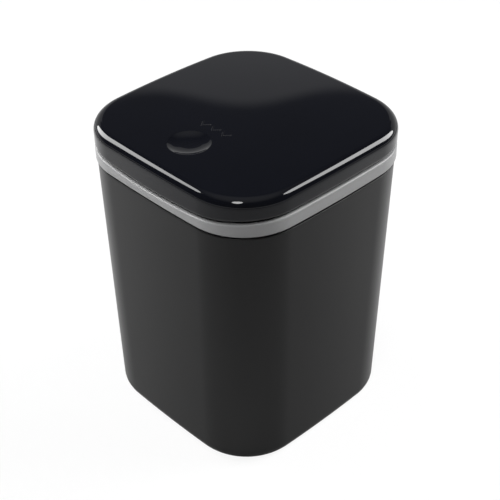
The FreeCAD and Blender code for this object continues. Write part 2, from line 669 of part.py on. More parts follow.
def screw(length):
    """Pan-head screw with a cross recess, its seat at the origin and its shank along +Z."""
    head = cylinder_z(SCREW_HEAD_DIAMETER / 2, 0, 0, (-SCREW_HEAD_HEIGHT, 0))
    head = rounded_level(head, -SCREW_HEAD_HEIGHT, SCREW_HEAD_HEIGHT / 2)
    shank = cylinder_z(SCREW_DIAMETER / 2, 0, 0, (-SCREW_HEAD_HEIGHT / 2, length))
    across = (-SCREW_SLOT_LENGTH / 2, SCREW_SLOT_LENGTH / 2)
    narrow = (-SCREW_SLOT_WIDTH / 2, SCREW_SLOT_WIDTH / 2)
    deep = (-SCREW_HEAD_HEIGHT - OVERRUN, SCREW_SLOT_DEPTH - SCREW_HEAD_HEIGHT)
    return joined([head, shank]).cut([box(across, narrow, deep), box(narrow, across, deep)])


def placed(shapes):
    """Group of separate solids under one node."""
    return Part.makeCompound(shapes)


def lid_screws():
    """Four screws that hold the liner to the cover's bosses."""
    return placed([screw(LID_SCREW_LENGTH).translate(Vec(x, y, LINER_LOW)) for x, y in lid_boss_places()])


def latch_cam_screws():
    """Two screws that hold the cam's flange under the liner."""
    z = LINER_LOW - CAM_FLANGE_THICKNESS
    return placed([screw(CAM_SCREW_LENGTH).translate(Vec(x, y, z)) for x, y in cam_screw_places()])


def latch_cover_screws():
    """Two screws that hold the latch cover, driven from inside the bin."""
    group = []
    for side in (-1, 1):
        piece = screw(COVER_SCREW_LENGTH)
        piece.rotate(Vec(0, 0, 0), Vec(1, 0, 0), 90)
        group.append(piece.translate(Vec(side * COVER_SCREW_X, COVER_REAR, COVER_SCREW_Z)))
    return placed(group)


def build():
    """Writes every piece of the trash can to its own file."""
    left_spring, right_spring = hinge_springs()
    nodes = {
        "bin_body": bin_body(),
        "collar_ring": collar_ring(),
        "hinge_pin": hinge_pin(),
        "hinge_spring_left": left_spring,
        "hinge_spring_right": right_spring,
        "lid_cover": lid_cover(),
        "lid_liner": lid_liner(),
        "lid_screws": lid_screws(),
        "latch_cam": latch_cam(),
        "latch_cam_screws": latch_cam_screws(),
        "latch_arm": latch_arm(),
        "latch_pivot": latch_pivot(),
        "latch_cover": latch_cover(),
        "latch_cover_screws": latch_cover_screws(),
    }
    os.makedirs("parts", exist_ok=True)
    for name, shape in nodes.items():
        shape.exportStep("parts/" + name + ".step")
        bounds = shape.BoundBox
        print(name, "solids", len(shape.Solids), "valid", shape.isValid(), "volume", round(shape.Volume, 1),
              "z", round(bounds.ZMin, 2), round(bounds.ZMax, 2))


build()
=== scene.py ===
import json
import math

import bpy
import numpy as np
from bpy.props import FloatProperty, FloatVectorProperty, IntProperty, PointerProperty
from mathutils import Matrix, Quaternion, Vector


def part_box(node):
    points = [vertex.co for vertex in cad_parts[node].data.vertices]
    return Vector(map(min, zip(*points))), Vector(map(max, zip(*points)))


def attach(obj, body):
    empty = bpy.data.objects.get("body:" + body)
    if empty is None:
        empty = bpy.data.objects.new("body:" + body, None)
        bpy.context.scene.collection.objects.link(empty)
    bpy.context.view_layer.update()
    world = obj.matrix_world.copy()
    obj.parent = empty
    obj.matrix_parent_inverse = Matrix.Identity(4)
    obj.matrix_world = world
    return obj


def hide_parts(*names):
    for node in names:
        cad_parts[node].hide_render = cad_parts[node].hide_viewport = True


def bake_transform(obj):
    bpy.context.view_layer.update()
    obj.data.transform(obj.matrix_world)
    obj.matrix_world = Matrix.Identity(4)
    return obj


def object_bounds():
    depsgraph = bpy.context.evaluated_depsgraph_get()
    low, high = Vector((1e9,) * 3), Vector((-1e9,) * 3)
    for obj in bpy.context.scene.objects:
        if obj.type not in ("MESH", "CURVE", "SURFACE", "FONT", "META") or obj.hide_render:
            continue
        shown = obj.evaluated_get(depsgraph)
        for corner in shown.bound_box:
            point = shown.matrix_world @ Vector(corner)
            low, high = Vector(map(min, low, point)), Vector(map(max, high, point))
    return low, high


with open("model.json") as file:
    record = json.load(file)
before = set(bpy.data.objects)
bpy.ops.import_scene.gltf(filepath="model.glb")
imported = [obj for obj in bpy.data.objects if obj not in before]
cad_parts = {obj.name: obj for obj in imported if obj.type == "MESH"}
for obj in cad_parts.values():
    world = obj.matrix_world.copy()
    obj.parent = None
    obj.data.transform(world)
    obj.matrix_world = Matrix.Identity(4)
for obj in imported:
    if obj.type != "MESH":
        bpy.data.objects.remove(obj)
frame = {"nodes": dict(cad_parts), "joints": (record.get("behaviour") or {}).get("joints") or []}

bl_info = {
    "name": "Desktop Trash Can",
    "version": (1, 0, 0),
    "blender": (4, 5, 0),
    "location": "3D View > Sidebar > Trash Can",
    "description": "Dresses the frame of a press-open desktop trash can",
    "category": "Object",
}

# Boxes and axes of the frame, in metres
CAD_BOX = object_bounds()
COLLAR_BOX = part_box("collar_ring")
LID_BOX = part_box("lid_cover")
PIN_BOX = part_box("hinge_pin")
SPRING_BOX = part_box("hinge_spring_right")
COVER_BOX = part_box("latch_cover")
RIM_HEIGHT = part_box("bin_body")[1].z
HINGE = Vector(next(joint["pos_m"] for joint in frame["joints"] if joint["name"] == "lid_hinge"))

MM = 0.001
PER_METRE = 1 / MM
HALF_TURN = math.pi
QUARTER_TURN = math.pi / 2
FULL_TURN = 2 * math.pi
EVEN = (1, 1, 1)
WHITE = (1, 1, 1, 1)

# Fineness of the meshes
SIDE_COLUMNS = 24
CORNER_COLUMNS = 40
NOTCH_COLUMNS = 25
BLOCK_COLUMNS = 6
CIRCLE_COLUMNS = 32
PAD_COLUMNS = 64
MARK_COLUMNS = 20
WIRE_COLUMNS = 12
ROUND_STEPS = 7
TOP_ROWS = 34
MARK_ROWS = 21
TURN_ROWS = 40
LEG_ROWS = 5
SHARP_ANGLE = math.radians(40)
TINY_ANGLE = 1e-9

# Guide points beside a rounding: their distance from it, and the most they take of the rest of a side
GUIDE = 0.25 * MM
GUIDE_SHARE = 0.25

# Finer columns at the ends of the lid's rear relief, as turns in degrees
NOTCH_TURNS = ((50, 64), (116, 130))

# Rows of the lid's top: first shares of the way to the ring round the dish, rings in shares of its radius
TOP_STARTS = (0.004, 0.03)
DISH_RING = 1.3
DISH_RINGS = ((1.27, 1.1, 6), (1.08, 0.92, 18), (0.88, 0.06, 14))

# Flat stretches and lesser roundings, as multiples of the rounding that they go with
BLOCK_FLAT = 1.5
BLOCK_CORNER = 2
RECESS_FLAT = 4
FLOOR_FLAT = 2
ROOF_FLAT = 3
SKIRT_TOP = 1.2
FOOT_EDGE = 0.5
SPIGOT_EDGE = 0.4
HOUSING_EDGE = 0.6
LID_EDGE = 0.1

# Share of the rear relief's run that lies before the hinge
NOTCH_LEAD = 0.25

# Chevrons: slope as a share of the field, half bend as a share of an arm, root as a share of the roof
MARK_SLOPE = 0.55
MARK_BEND = 0.03
MARK_ROOT = 1 / 6

# Small steps that keep the faces of joined forms apart
BRIDGE_INSET = 0.02 * MM
STEM_INSET = 0.1 * MM
HOUSING_INSET = 0.05 * MM
PAD_OVERLAP = 0.2 * MM
FLOOR_DROP = 0.1 * MM


def length(name, description, millimetres):
    """A size, with its default given in millimetres."""
    return FloatProperty(name=name, description=description, default=millimetres * MM,
                         precision=5, unit="LENGTH", subtype="DISTANCE")


def number(name, description, default):
    """A plain number."""
    return FloatProperty(name=name, description=description, default=default, precision=4)


def angle(name, description, degrees):
    """An angle, with its default given in degrees."""
    return FloatProperty(name=name, description=description, default=math.radians(degrees),
                         unit="ROTATION", subtype="ANGLE")


def colour(name, description, *rgb):
    """A linear colour."""
    return FloatVectorProperty(name=name, description=description, default=rgb, size=3, min=0, max=1,
                               subtype="COLOR")


class PlanSizes(bpy.types.PropertyGroup):
    """Plan that bin, collar and lid share: bowed sides that run into round corners."""
    width: length("Width", "Outer width", (LID_BOX[1].x - LID_BOX[0].x) * PER_METRE)
    corner_radius: length("Corner radius", "Radius of the round corners", 34.4)
    side_radius: length("Side radius", "Radius of the slightly bowed sides", 886)
    front_dip: length("Front dip", "Dip of the parting line in the middle of the front", 3.2)
    dip_reach: length("Dip reach", "From the middle to the ends of the dip", 64.7)
    dip_power: number("Dip power", "Power that shapes the dip", 1.5)


class BinSizes(bpy.types.PropertyGroup):
    """Drafted tub."""
    setback: length("Setback", "How far the sides are drawn in at the rim", 0.6)
    taper: length("Taper", "How far each side draws in from rim to base", 3.0)
    wall: length("Wall", "Wall thickness", 2.0)
    floor: length("Floor", "Floor thickness", 2.8)
    base_round: length("Base round", "Rounding of the base edge", 5.8)
    rim_round: length("Rim round", "Rounding of the rim", 0.5)
    foot_width: length("Foot width", "Width of the ring that the bin stands on", 5.0)
    foot_recess: length("Foot recess", "Hollow under the floor", 0.8)


class CollarSizes(bpy.types.PropertyGroup):
    """Grey ring between bin and lid."""
    rim_gap: length("Rim gap", "Shadow gap above the bin's rim", 1.65)
    band_height: length("Band height", "Height of the grey band", 7.55)
    band_wall: length("Band wall", "Thickness of the band above the deck", 2.6)
    deck_thickness: length("Deck", "Thickness of the inner deck", 2.5)
    deck_width: length("Deck width", "From the plan to the mouth", 9.3)
    spigot_length: length("Spigot length", "How far the spigot reaches into the bin", 12.0)
    spigot_inset: length("Spigot inset", "From the plan to the spigot", 3.47)
    spigot_wall: length("Spigot wall", "Thickness of the spigot", 2.0)
    seat_inset: length("Seat inset", "From the plan to the shoulder that sits on the rim", 2.0)
    edge_round: length("Edge round", "Rounding of the band's edges", 0.5)
    lip_round: length("Lip round", "Rounding of the band's upper outer edge", 0.9)
    slot_inset: length("Slot inset", "From the plan to the front of the latch slot", 5.6)
    housing_half: length("Housing half width", "Half width of the latch housing", 10.45)
    housing_wall: length("Housing wall", "Wall of the latch housing", 2.0)
    screw_spread: length("Screw spread", "From the middle to a screw of the latch cover", 11.85)
    screw_drop: length("Screw drop", "From the deck down to those screws", 10.0)
    boss_diameter: length("Boss diameter", "Diameter of the bosses for those screws", 5.6)


class LidSizes(bpy.types.PropertyGroup):
    """Gloss cover."""
    low: length("Low", "Height of the lower edge beside the dip", 166.9)
    crown: length("Crown", "Rise of the top from its edge to its middle", 1.2)
    top: length("Top", "Height of the middle of the crown above the floor", 180.3)
    wall: length("Wall", "Thickness of the skirt", 2.2)
    roof: length("Roof", "Thickness of the top at its edge", 2.4)
    top_round: length("Top round", "Rounding of the top edge", 5.3)
    low_round: length("Low round", "Rounding of the lower edge", 2.0)
    dish_setback: length("Dish setback", "From the front to the middle of the thumb dish", 27.3)
    dish_diameter: length("Dish diameter", "Diameter of the thumb dish", 23.0)
    dish_depth: length("Dish depth", "Depth of the thumb dish", 1.8)
    dish_power: number("Dish power", "Power that flattens the dish's floor and steepens its wall", 1.5)
    dish_rim: length("Dish rim", "Softness of the dish's rim", 0.1)
    notch_height: length("Notch height", "Relief of the rear skirt over the hinge", 4.0)
    notch_run: length("Notch run", "Depth over which that relief begins", 2.0)
    boss_reach: length("Boss reach", "From the middle to the liner's bosses, on both axes", 40.0)
    boss_diameter: length("Boss diameter", "Diameter of those bosses", 6.4)
    boss_low: length("Boss low", "Height of the bosses' lower ends", 171.3)
    mark_setback: length("Mark setback", "From the front to the middle of the marks", 45.8)
    mark_width: length("Mark width", "Width of one chevron", 5.6)
    mark_length: length("Mark length", "Length of the marks' field", 6.0)
    mark_stroke: length("Mark stroke", "Stroke of a chevron along the lid", 1.5)
    mark_pitch: length("Mark pitch", "Spacing of the chevrons", 7.6)
    mark_relief: length("Mark relief", "How far the chevrons stand out", 0.14)
    mark_count: IntProperty(name="Mark count", description="Number of chevrons", default=3, min=1)


class HingeSizes(bpy.types.PropertyGroup):
    """Ears of the collar and the torsion springs on the pin."""
    ear_width: length("Ear width", "Width of an ear along the pin", 5.0)
    eye_diameter: length("Eye diameter", "Diameter of the ears' eyes", 6.0)
    pin_diameter: length("Pin diameter", "Diameter of the pin", 2.5)
    stem_relief: length("Stem relief", "From the pin's axis to the rear of an ear's stem", 0.2)
    bridge_half: length("Bridge half width", "Half width of the rear bridge", 32.5)
    bridge_depth: length("Bridge depth", "From the pin's axis to the bridge's front", 6.0)
    wire: length("Wire", "Diameter of the spring wire", 0.8)
    coil_radius: length("Coil radius", "Radius of the coil's middle line", 2.4)
    coil_turns: number("Coil turns", "Turns from the lower leg to the upper leg", 9.75)


class Finishes(bpy.types.PropertyGroup):
    """Colours, gloss and grain of the finishes."""
    bin_black: colour("Bin black", "Satin black of the bin", 0.0102, 0.0102, 0.0104)
    bin_roughness: number("Bin roughness", "Roughness of the bin's satin", 0.33)
    bin_gloss: number("Bin gloss", "Specular level of the bin's satin", 0.25)
    bin_grain: length("Bin grain", "Depth of the bin's moulded grain", 0.022)
    collar_grey: colour("Collar grey", "Grey of the collar", 0.285, 0.286, 0.288)
    collar_roughness: number("Collar roughness", "Roughness of the collar's satin", 0.42)
    collar_grain: length("Collar grain", "Depth of the collar's moulded grain", 0.014)
    lid_black: colour("Lid black", "Deep black of the lid", 0.0018, 0.0022, 0.0044)
    lid_roughness: number("Lid roughness", "Roughness of the lid's gloss", 0.045)
    lid_gloss: number("Lid gloss", "Specular level of the lid's gloss", 0.38)
    liner_black: colour("Liner black", "Black of the lid's liner", 0.02, 0.02, 0.022)
    liner_roughness: number("Liner roughness", "Roughness of the liner", 0.5)
    liner_grain: length("Liner grain", "Depth of the liner's moulded grain", 0.026)
    latch_white: colour("Latch white", "Natural white of the latch", 0.72, 0.71, 0.67)
    latch_roughness: number("Latch roughness", "Roughness of the latch's cam and arm", 0.36)
    latch_grain: length("Latch grain", "Depth of their moulded grain", 0.008)
    steel: colour("Steel", "Drawn steel of pins and springs", 0.58, 0.58, 0.6)
    pin_roughness: number("Pin roughness", "Roughness of the hinge pin", 0.3)
    pivot_roughness: number("Pivot roughness", "Roughness of the latch's pivot", 0.34)
    spring_roughness: number("Spring roughness", "Roughness of the spring wire", 0.32)
    zinc: colour("Zinc", "Zinc plating of the screws", 0.5, 0.5, 0.52)
    zinc_roughness: number("Zinc roughness", "Roughness of the zinc plating", 0.42)


class StageSizes(bpy.types.PropertyGroup):
    """Floor, lamps, surroundings and camera."""
    floor_size: length("Floor size", "Side of the floor", 9000)
    floor_white: colour("Floor white", "Colour of the floor", 0.85, 0.85, 0.85)
    floor_glow: number("Floor glow", "Share of pure white that the camera sees in the floor", 0.9)
    floor_gleam: number("Floor gleam", "Share of pure white that reflections see in the floor", 1.0)
    side_distance: length("Side distance", "From the object to a side lamp", 860)
    side_width: length("Side width", "Width of a side lamp's face", 800)
    side_tall: length("Side tall", "Height of a side lamp's face", 380)
    side_roll: angle("Side roll", "How far the side lamps' outer ends hang lower", 45)
    left_lamp: angle("Left lamp", "Azimuth of the left lamp", -70)
    left_height: angle("Left height", "Height of the left lamp over the horizon", 36)
    left_power: number("Left power", "Power of the left lamp in watts", 7.4)
    right_lamp: angle("Right lamp", "Azimuth of the right lamp", 150)
    right_height: angle("Right height", "Height of the right lamp over the horizon", 36)
    right_power: number("Right power", "Power of the right lamp in watts", 8.2)
    fill_lamp: angle("Fill lamp", "Azimuth of the soft fill on the left", -45)
    fill_height: angle("Fill height", "Height of the soft fill over the horizon", 30)
    fill_power: number("Fill power", "Power of the soft fill in watts", 3.2)
    front_lamp: angle("Front lamp", "Azimuth of the front lamp", 33)
    front_height: angle("Front height", "Height of the front lamp over the horizon", 55)
    front_distance: length("Front distance", "From the object to the front lamp", 1200)
    front_width: length("Front width", "Width of the front lamp's face", 240)
    front_tall: length("Front tall", "Height of the front lamp's face", 420)
    front_power: number("Front power", "Power of the front lamp in watts", 3.5)
    wall_edge: number("Wall edge", "Sine of the height that the rear wall reaches", 0.448)
    wall_fade: number("Wall fade", "Rise of that sine over which it darkens", 0.024)
    wall_sag: number("Wall sag", "Rise and fall of the wall's upper edge", 0.017)
    wall_waves: number("Wall waves", "Radians of that edge's wave from the wall's middle to its side", 27)
    wall_grey: number("Wall grey", "Brightness of the rear wall at its upper edge", 0.36)
    wall_foot: number("Wall foot", "Brightness of the rear wall at its foot", 0.62)
    wall_start: number("Wall start", "Cosine to the rear at which the wall begins", 0.2)
    wall_full: number("Wall full", "Cosine to the rear from which it has its full brightness", 0.7)
    backdrop: number("Backdrop", "Brightness of the surroundings that the camera sees", 0.91)
    ceiling: number("Ceiling", "Brightness above the wall and beside the object", 0.09)
    overhead: number("Overhead", "Brightness straight above the object", 0.42)
    overhead_low: number("Overhead low", "Sine of the height from which the ceiling brightens", 0.72)
    cloth_half: length("Cloth half width", "Half width of the dark cloth round the bright table", 1500)
    cloth_turn: angle("Cloth turn", "Turn of the cloth's front edge from the camera towards the right", -2)
    cloth_front: length("Cloth front", "Where the cloth begins in front, from the middle", -118)
    cloth_front_fade: length("Cloth front fade", "Run over which it thickens in front", 210)
    cloth_round: length("Cloth round", "Where the cloth begins all round, from the middle", 500)
    cloth_round_fade: length("Cloth round fade", "Run over which it thickens all round", 260)
    cloth_dark: colour("Cloth dark", "Colour of the cloth", 0.4, 0.4, 0.4)
    azimuth: angle("Azimuth", "Camera's direction round the object", 46.324)
    elevation: angle("Elevation", "Camera's height over the horizon", 36.415)
    roll: angle("Roll", "Turn of the camera about its own axis", -0.586)
    distance: length("Distance", "From the camera to its target", 659.70)
    target: length("Target", "Height of the point that the camera looks at", 90)
    lens: number("Lens", "Focal length in millimetres", 83.499)
    shift_x: number("Shift X", "Sideways shift of the picture", 0.0061)
    shift_y: number("Shift Y", "Upright shift of the picture", 0.0062)


class TrashCanSettings(bpy.types.PropertyGroup):
    """All sizes and finishes."""
    plan: PointerProperty(type=PlanSizes)
    bin: PointerProperty(type=BinSizes)
    collar: PointerProperty(type=CollarSizes)
    lid: PointerProperty(type=LidSizes)
    hinge: PointerProperty(type=HingeSizes)
    finishes: PointerProperty(type=Finishes)
    stage: PointerProperty(type=StageSizes)


# Shader sheets

class Wire:
    """A shader socket: sums, differences and products of sockets and numbers add Math nodes."""

    def __init__(self, sheet, socket):
        self.sheet = sheet
        self.socket = socket

    def math(self, operation, first, second):
        return self.sheet.node("ShaderNodeMath", {"operation": operation}, {0: first, 1: second})

    def __add__(self, other):
        return self.math("ADD", self, other)

    def __radd__(self, other):
        return self.math("ADD", other, self)

    def __sub__(self, other):
        return self.math("SUBTRACT", self, other)

    def __rsub__(self, other):
        return self.math("SUBTRACT", other, self)

    def __mul__(self, other):
        return self.math("MULTIPLY", self, other)

    def __rmul__(self, other):
        return self.math("MULTIPLY", other, self)


class Sheet:
    """Node tree of one material or world, emptied and ready to be wired."""

    def __init__(self, owner):
        owner.use_nodes = True
        self.tree = owner.node_tree
        self.tree.nodes.clear()

    def node(self, kind, settings=None, values=None, output=0):
        """Adds a node of a type, sets its settings first, then its sockets' values or links."""
        made = self.tree.nodes.new(kind)
        for name, setting in (settings or {}).items():
            setattr(made, name, setting)
        for key, value in (values or {}).items():
            if isinstance(value, Wire):
                self.tree.links.new(value.socket, made.inputs[key])
            else:
                made.inputs[key].default_value = value
        return Wire(self, made.outputs[output]) if len(made.outputs) else made

    def place(self, stretch=EVEN):
        """Object coordinates, stretched along the axes."""
        here = self.node("ShaderNodeTexCoord", output="Object")
        return self.node("ShaderNodeMapping", {"vector_type": "POINT"}, {"Vector": here, "Scale": stretch})

    def along(self, place, direction):
        """Distance of a place along a direction."""
        values = {0: place, 1: tuple(direction)}
        return self.node("ShaderNodeVectorMath", {"operation": "DOT_PRODUCT"}, values, output="Value")

    def noise(self, place, per_metre, detail=2.0, roughness=0.5):
        """Cloudy value between 0 and 1, with so many clouds to the metre."""
        values = {"Vector": place, "Scale": per_metre, "Detail": detail, "Roughness": roughness}
        return self.node("ShaderNodeTexNoise", {"noise_dimensions": "3D"}, values)

    def shades(self, share, rgb, factors):
        """Colour that goes with a share from its darkest to its lightest shade, each given as a factor."""
        dark, light = (tuple(channel * factor for channel in rgb) + (1.0,) for factor in factors)
        return self.node("ShaderNodeMix", {"data_type": "RGBA"}, {0: share, 6: dark, 7: light}, output=2)

    def ramp(self, value, low, high, at_low, at_high):
        """Number that eases from one level to another as a value passes from low to high."""
        values = {"Value": value, "From Min": low, "From Max": high, "To Min": at_low, "To Max": at_high}
        return self.node("ShaderNodeMapRange", {"interpolation_type": "SMOOTHSTEP"}, values)

    def bump(self, height, depth):
        """Normal that a height of so many metres gives."""
        return self.node("ShaderNodeBump", {}, {"Height": height, "Distance": depth, "Strength": 1.0})

    def surface(self, values):
        """Principled shader as the material's surface."""
        shader = self.node("ShaderNodeBsdfPrincipled", {}, values)
        self.node("ShaderNodeOutputMaterial", {}, {"Surface": shader})


# Patterns of the finishes, in clouds to the metre
FLOW_CLOUDS = 45
SPECKLE_CLOUDS = 700
GRAIN_CLOUDS = 1900
HAZE_CLOUDS = 26
PEEL_CLOUDS = 160
LINE_CLOUDS = 2600
TARNISH_CLOUDS = 320
PAPER_CLOUDS = 30
WEAVE_CLOUDS = 400

# Stretch of a pattern: a factor below 1 draws it out along that axis
FLOW_STRETCH = (1, 1, 0.35)
COIL_STRETCH = (0.2, 1, 1)
PIN_STRETCH = (0.05, 1, 1)
PIVOT_STRETCH = (1, 0.05, 1)

# Darkest and lightest shade that a pattern gives, and the flow marks' part in those of moulded plastic
MOULDED_SHADES = (0.86, 1.14)
POLISHED_SHADES = (0.8, 1.2)
METAL_SHADES = (0.82, 1.1)
PAPER_SHADES = (0.99, 1.0)
WEAVE_SHADES = (0.8, 1.2)
FLOW_SHARE = 0.6

# Swing of the roughness that a pattern gives
FLOW_SWING = 0.06
SPECKLE_SWING = 0.04
HAZE_SWING = 0.03
LINE_SWING = 0.1
TARNISH_SWING = 0.06

# Depth of the relief that a pattern gives, and the specular level of plain plastic
PEEL_DEPTH = 0.0012 * MM
LINE_DEPTH = 0.006 * MM
PLAIN_GLOSS = 0.5


def moulded(name, rgb, roughness, grain_depth, gloss=PLAIN_GLOSS):
    """Moulded plastic: fine spark-eroded grain, faint cloudy flow marks in colour and gloss."""
    made = bpy.data.materials.new(name)
    sheet = Sheet(made)
    place = sheet.place()
    flow = sheet.noise(sheet.place(FLOW_STRETCH), FLOW_CLOUDS, detail=3)
    grain = sheet.noise(place, GRAIN_CLOUDS)
    speckle = sheet.noise(place, SPECKLE_CLOUDS, detail=3, roughness=0.6)
    least = roughness - (FLOW_SWING + SPECKLE_SWING) / 2
    sheet.surface({
        "Base Color": sheet.shades(flow * FLOW_SHARE + speckle * (1 - FLOW_SHARE), rgb, MOULDED_SHADES),
        "Roughness": least + flow * FLOW_SWING + speckle * SPECKLE_SWING,
        "Specular IOR Level": gloss,
        "Normal": sheet.bump(grain, grain_depth),
    })
    return made


def polished(name, rgb, roughness, gloss):
    """Mirror-gloss plastic: faint handling haze in the gloss and a trace of orange peel."""
    made = bpy.data.materials.new(name)
    sheet = Sheet(made)
    place = sheet.place()
    haze = sheet.noise(place, HAZE_CLOUDS, detail=5, roughness=0.6)
    peel = sheet.noise(place, PEEL_CLOUDS, detail=1)
    sheet.surface({
        "Base Color": sheet.shades(haze, rgb, POLISHED_SHADES),
        "Roughness": roughness - HAZE_SWING / 2 + haze * HAZE_SWING,
        "Specular IOR Level": gloss,
        "Normal": sheet.bump(peel, PEEL_DEPTH),
    })
    return made


def drawn_metal(name, rgb, roughness, stretch):
    """Metal with faint tarnish and fine lines, drawn out by a stretch."""
    made = bpy.data.materials.new(name)
    sheet = Sheet(made)
    lines = sheet.noise(sheet.place(stretch), LINE_CLOUDS)
    tarnish = sheet.noise(sheet.place(), TARNISH_CLOUDS, detail=3)
    least = roughness - (LINE_SWING + TARNISH_SWING) / 2
    sheet.surface({
        "Base Color": sheet.shades(tarnish, rgb, METAL_SHADES),
        "Metallic": 1.0,
        "Roughness": least + lines * LINE_SWING + tarnish * TARNISH_SWING,
        "Normal": sheet.bump(lines, LINE_DEPTH),
    })
    return made


def finish_nodes(finishes):
    """Gives CAD nodes that keep their own shape their finishes, by name."""
    for name, finish in finishes.items():
        slots = frame["nodes"][name].data.materials
        slots.clear()
        slots.append(finish)


# Surfaces

class Plan:
    """Closed outline of arcs: each column has its arc's centre and radius and the direction outwards."""

    def __init__(self, centre, radius, turn):
        self.centre = centre
        self.radius = radius
        self.direction = np.column_stack((np.cos(turn), np.sin(turn)))

    def at(self, inset):
        """Outline set in by a distance: centre plus direction times the radius less the inset."""
        return self.centre + (self.radius - inset)[..., None] * self.direction

    def carried(self, inset, height):
        """Profile carried round the plan: one outline per row, each at its inset and height."""
        rows = len(inset)
        flat = self.at(np.reshape(inset, (rows, -1)))
        height = np.broadcast_to(np.reshape(height, (rows, -1)), flat.shape[:2])
        return np.dstack((flat, height))


def shared_plan(sizes, extra=(), draw=0.0):
    """Plan of bin, collar and lid: a bowed side, then a round corner, four times with a quarter turn each.
    Sides that are drawn in keep both radii."""
    beyond = sizes.side_radius - sizes.width / 2 + draw
    span = 2 * (sizes.side_radius - sizes.corner_radius) ** 2 - beyond ** 2
    reach = (math.sqrt(span) - beyond) / 2
    bow = math.atan2(reach, reach + beyond)
    side = np.linspace(-bow, bow, SIDE_COLUMNS, endpoint=False)
    corner = np.linspace(bow, QUARTER_TURN - bow, CORNER_COLUMNS, endpoint=False)
    quarters = np.arange(4)[:, None] * QUARTER_TURN
    turn = np.unique(np.concatenate(((quarters + np.concatenate((side, corner))).ravel(), extra)))
    quarter = np.floor((turn + bow + TINY_ANGLE) / QUARTER_TURN) * QUARTER_TURN
    on_side = turn - quarter < bow - TINY_ANGLE
    along = np.where(on_side, -beyond, reach)
    across = np.where(on_side, 0.0, reach)
    centre = np.column_stack((
        along * np.cos(quarter) - across * np.sin(quarter),
        along * np.sin(quarter) + across * np.cos(quarter),
    ))
    return Plan(centre, np.where(on_side, sizes.side_radius, sizes.corner_radius), turn)


def front_dip(sizes, outline):
    """Dip of the parting line over an outline, in front only: a power of one less the squared share of its
    reach."""
    share = np.clip(1 - (outline[:, 0] / sizes.dip_reach) ** 2, 0, 1)
    return np.where(outline[:, 1] < 0, sizes.front_dip * share ** sizes.dip_power, 0.0)


def block_plan(half_x, half_y, radius, middle):
    """Rectangle with round corners about a middle: a quarter turn about each corner's centre."""
    turn = (np.arange(4)[:, None] * QUARTER_TURN + np.linspace(0, QUARTER_TURN, BLOCK_COLUMNS)).ravel()
    sign_x = np.repeat([1, -1, -1, 1], BLOCK_COLUMNS)
    sign_y = np.repeat([1, 1, -1, -1], BLOCK_COLUMNS)
    centre = np.column_stack((middle[0] + sign_x * (half_x - radius), middle[1] + sign_y * (half_y - radius)))
    return Plan(centre, np.full(len(turn), radius), turn)


def circle_plan(radius, middle, columns=CIRCLE_COLUMNS):
    """Circle about a middle: even turns at one radius."""
    turn = np.arange(columns) * (FULL_TURN / columns)
    return Plan(np.tile(np.array(middle, float), (columns, 1)), np.full(columns, radius), turn)


def rounded(corners):
    """Profile from corners (inset, height, radius): each corner becomes an arc that touches both its sides,
    with a guide point on each side next to the arc. An arc's points are its end directions turned into each
    other about its centre."""
    spots = np.array([corner[:2] for corner in corners])
    radii = [corner[2] for corner in corners]
    count = len(spots)
    share = np.linspace(0, 1, ROUND_STEPS)[:, None]
    points = []
    for i in range(count):
        here, radius = spots[i], radii[i]
        if radius == 0:
            points.append(here[None])
            continue
        back = spots[i - 1] - here
        ahead = spots[(i + 1) % count] - here
        back_length, ahead_length = np.linalg.norm(back), np.linalg.norm(ahead)
        back, ahead = back / back_length, ahead / ahead_length
        half = math.acos(np.clip(back @ ahead, -1, 1)) / 2
        touch = radius / math.tan(half)
        centre = here + (back + ahead) / np.linalg.norm(back + ahead) * (radius / math.sin(half))
        first, last = here + back * touch - centre, here + ahead * touch - centre
        sweep = HALF_TURN - 2 * half
        arc = centre + (np.sin((1 - share) * sweep) * first + np.sin(share * sweep) * last) / math.sin(sweep)
        before = here + back * (touch + min(GUIDE, (back_length - touch) * GUIDE_SHARE))
        after = here + ahead * (touch + min(GUIDE, (ahead_length - touch) * GUIDE_SHARE))
        points += [before[None], arc, after[None]]
    table = np.vstack(points)
    return table[:, 0], table[:, 1]


def shell(rows, start=None, end=None, looped=False):
    """Rings stacked into one sheet: each ring closes on itself, and the stack at a pole or on itself."""
    count, width = rows.shape[:2]
    points = rows.reshape(-1, 3)
    index = np.arange(count * width).reshape(count, width)
    stacked = np.vstack((index, index[:1])) if looped else index
    beside = np.roll(stacked, -1, axis=1)
    quads = np.stack((stacked[:-1], beside[:-1], beside[1:], stacked[1:]), axis=-1)
    faces = [quads.reshape(-1, 4)]
    if start is not None:
        pole = np.full(width, len(points))
        points = np.vstack((points, start))
        faces.append(np.column_stack((pole, beside[0], stacked[0])))
    if end is not None:
        pole = np.full(width, len(points))
        points = np.vstack((points, end))
        faces.append(np.column_stack((stacked[-1], beside[-1], pole)))
    return points, faces


def lying(made, axis):
    """An upright shell laid along X or Y by passing its axes round."""
    points, faces = made
    order = {"X": (2, 0, 1), "Y": (1, 2, 0)}[axis]
    return points[:, order], faces


def piece(name, shells, finish):
    """Mesh object of closed shells, smooth apart from sharp edges, in one finish."""
    points, faces, first = [], [], 0
    for spots, groups in shells:
        points.append(spots)
        for group in groups:
            faces += (group + first).tolist()
        first += len(spots)
    mesh = bpy.data.meshes.new(name)
    mesh.from_pydata(np.vstack(points).tolist(), [], faces)
    mesh.shade_smooth()
    mesh.set_sharp_from_angle(angle=SHARP_ANGLE)
    mesh.materials.append(finish)
    made = bpy.data.objects.new(name, mesh)
    bpy.context.scene.collection.objects.link(made)
    return made


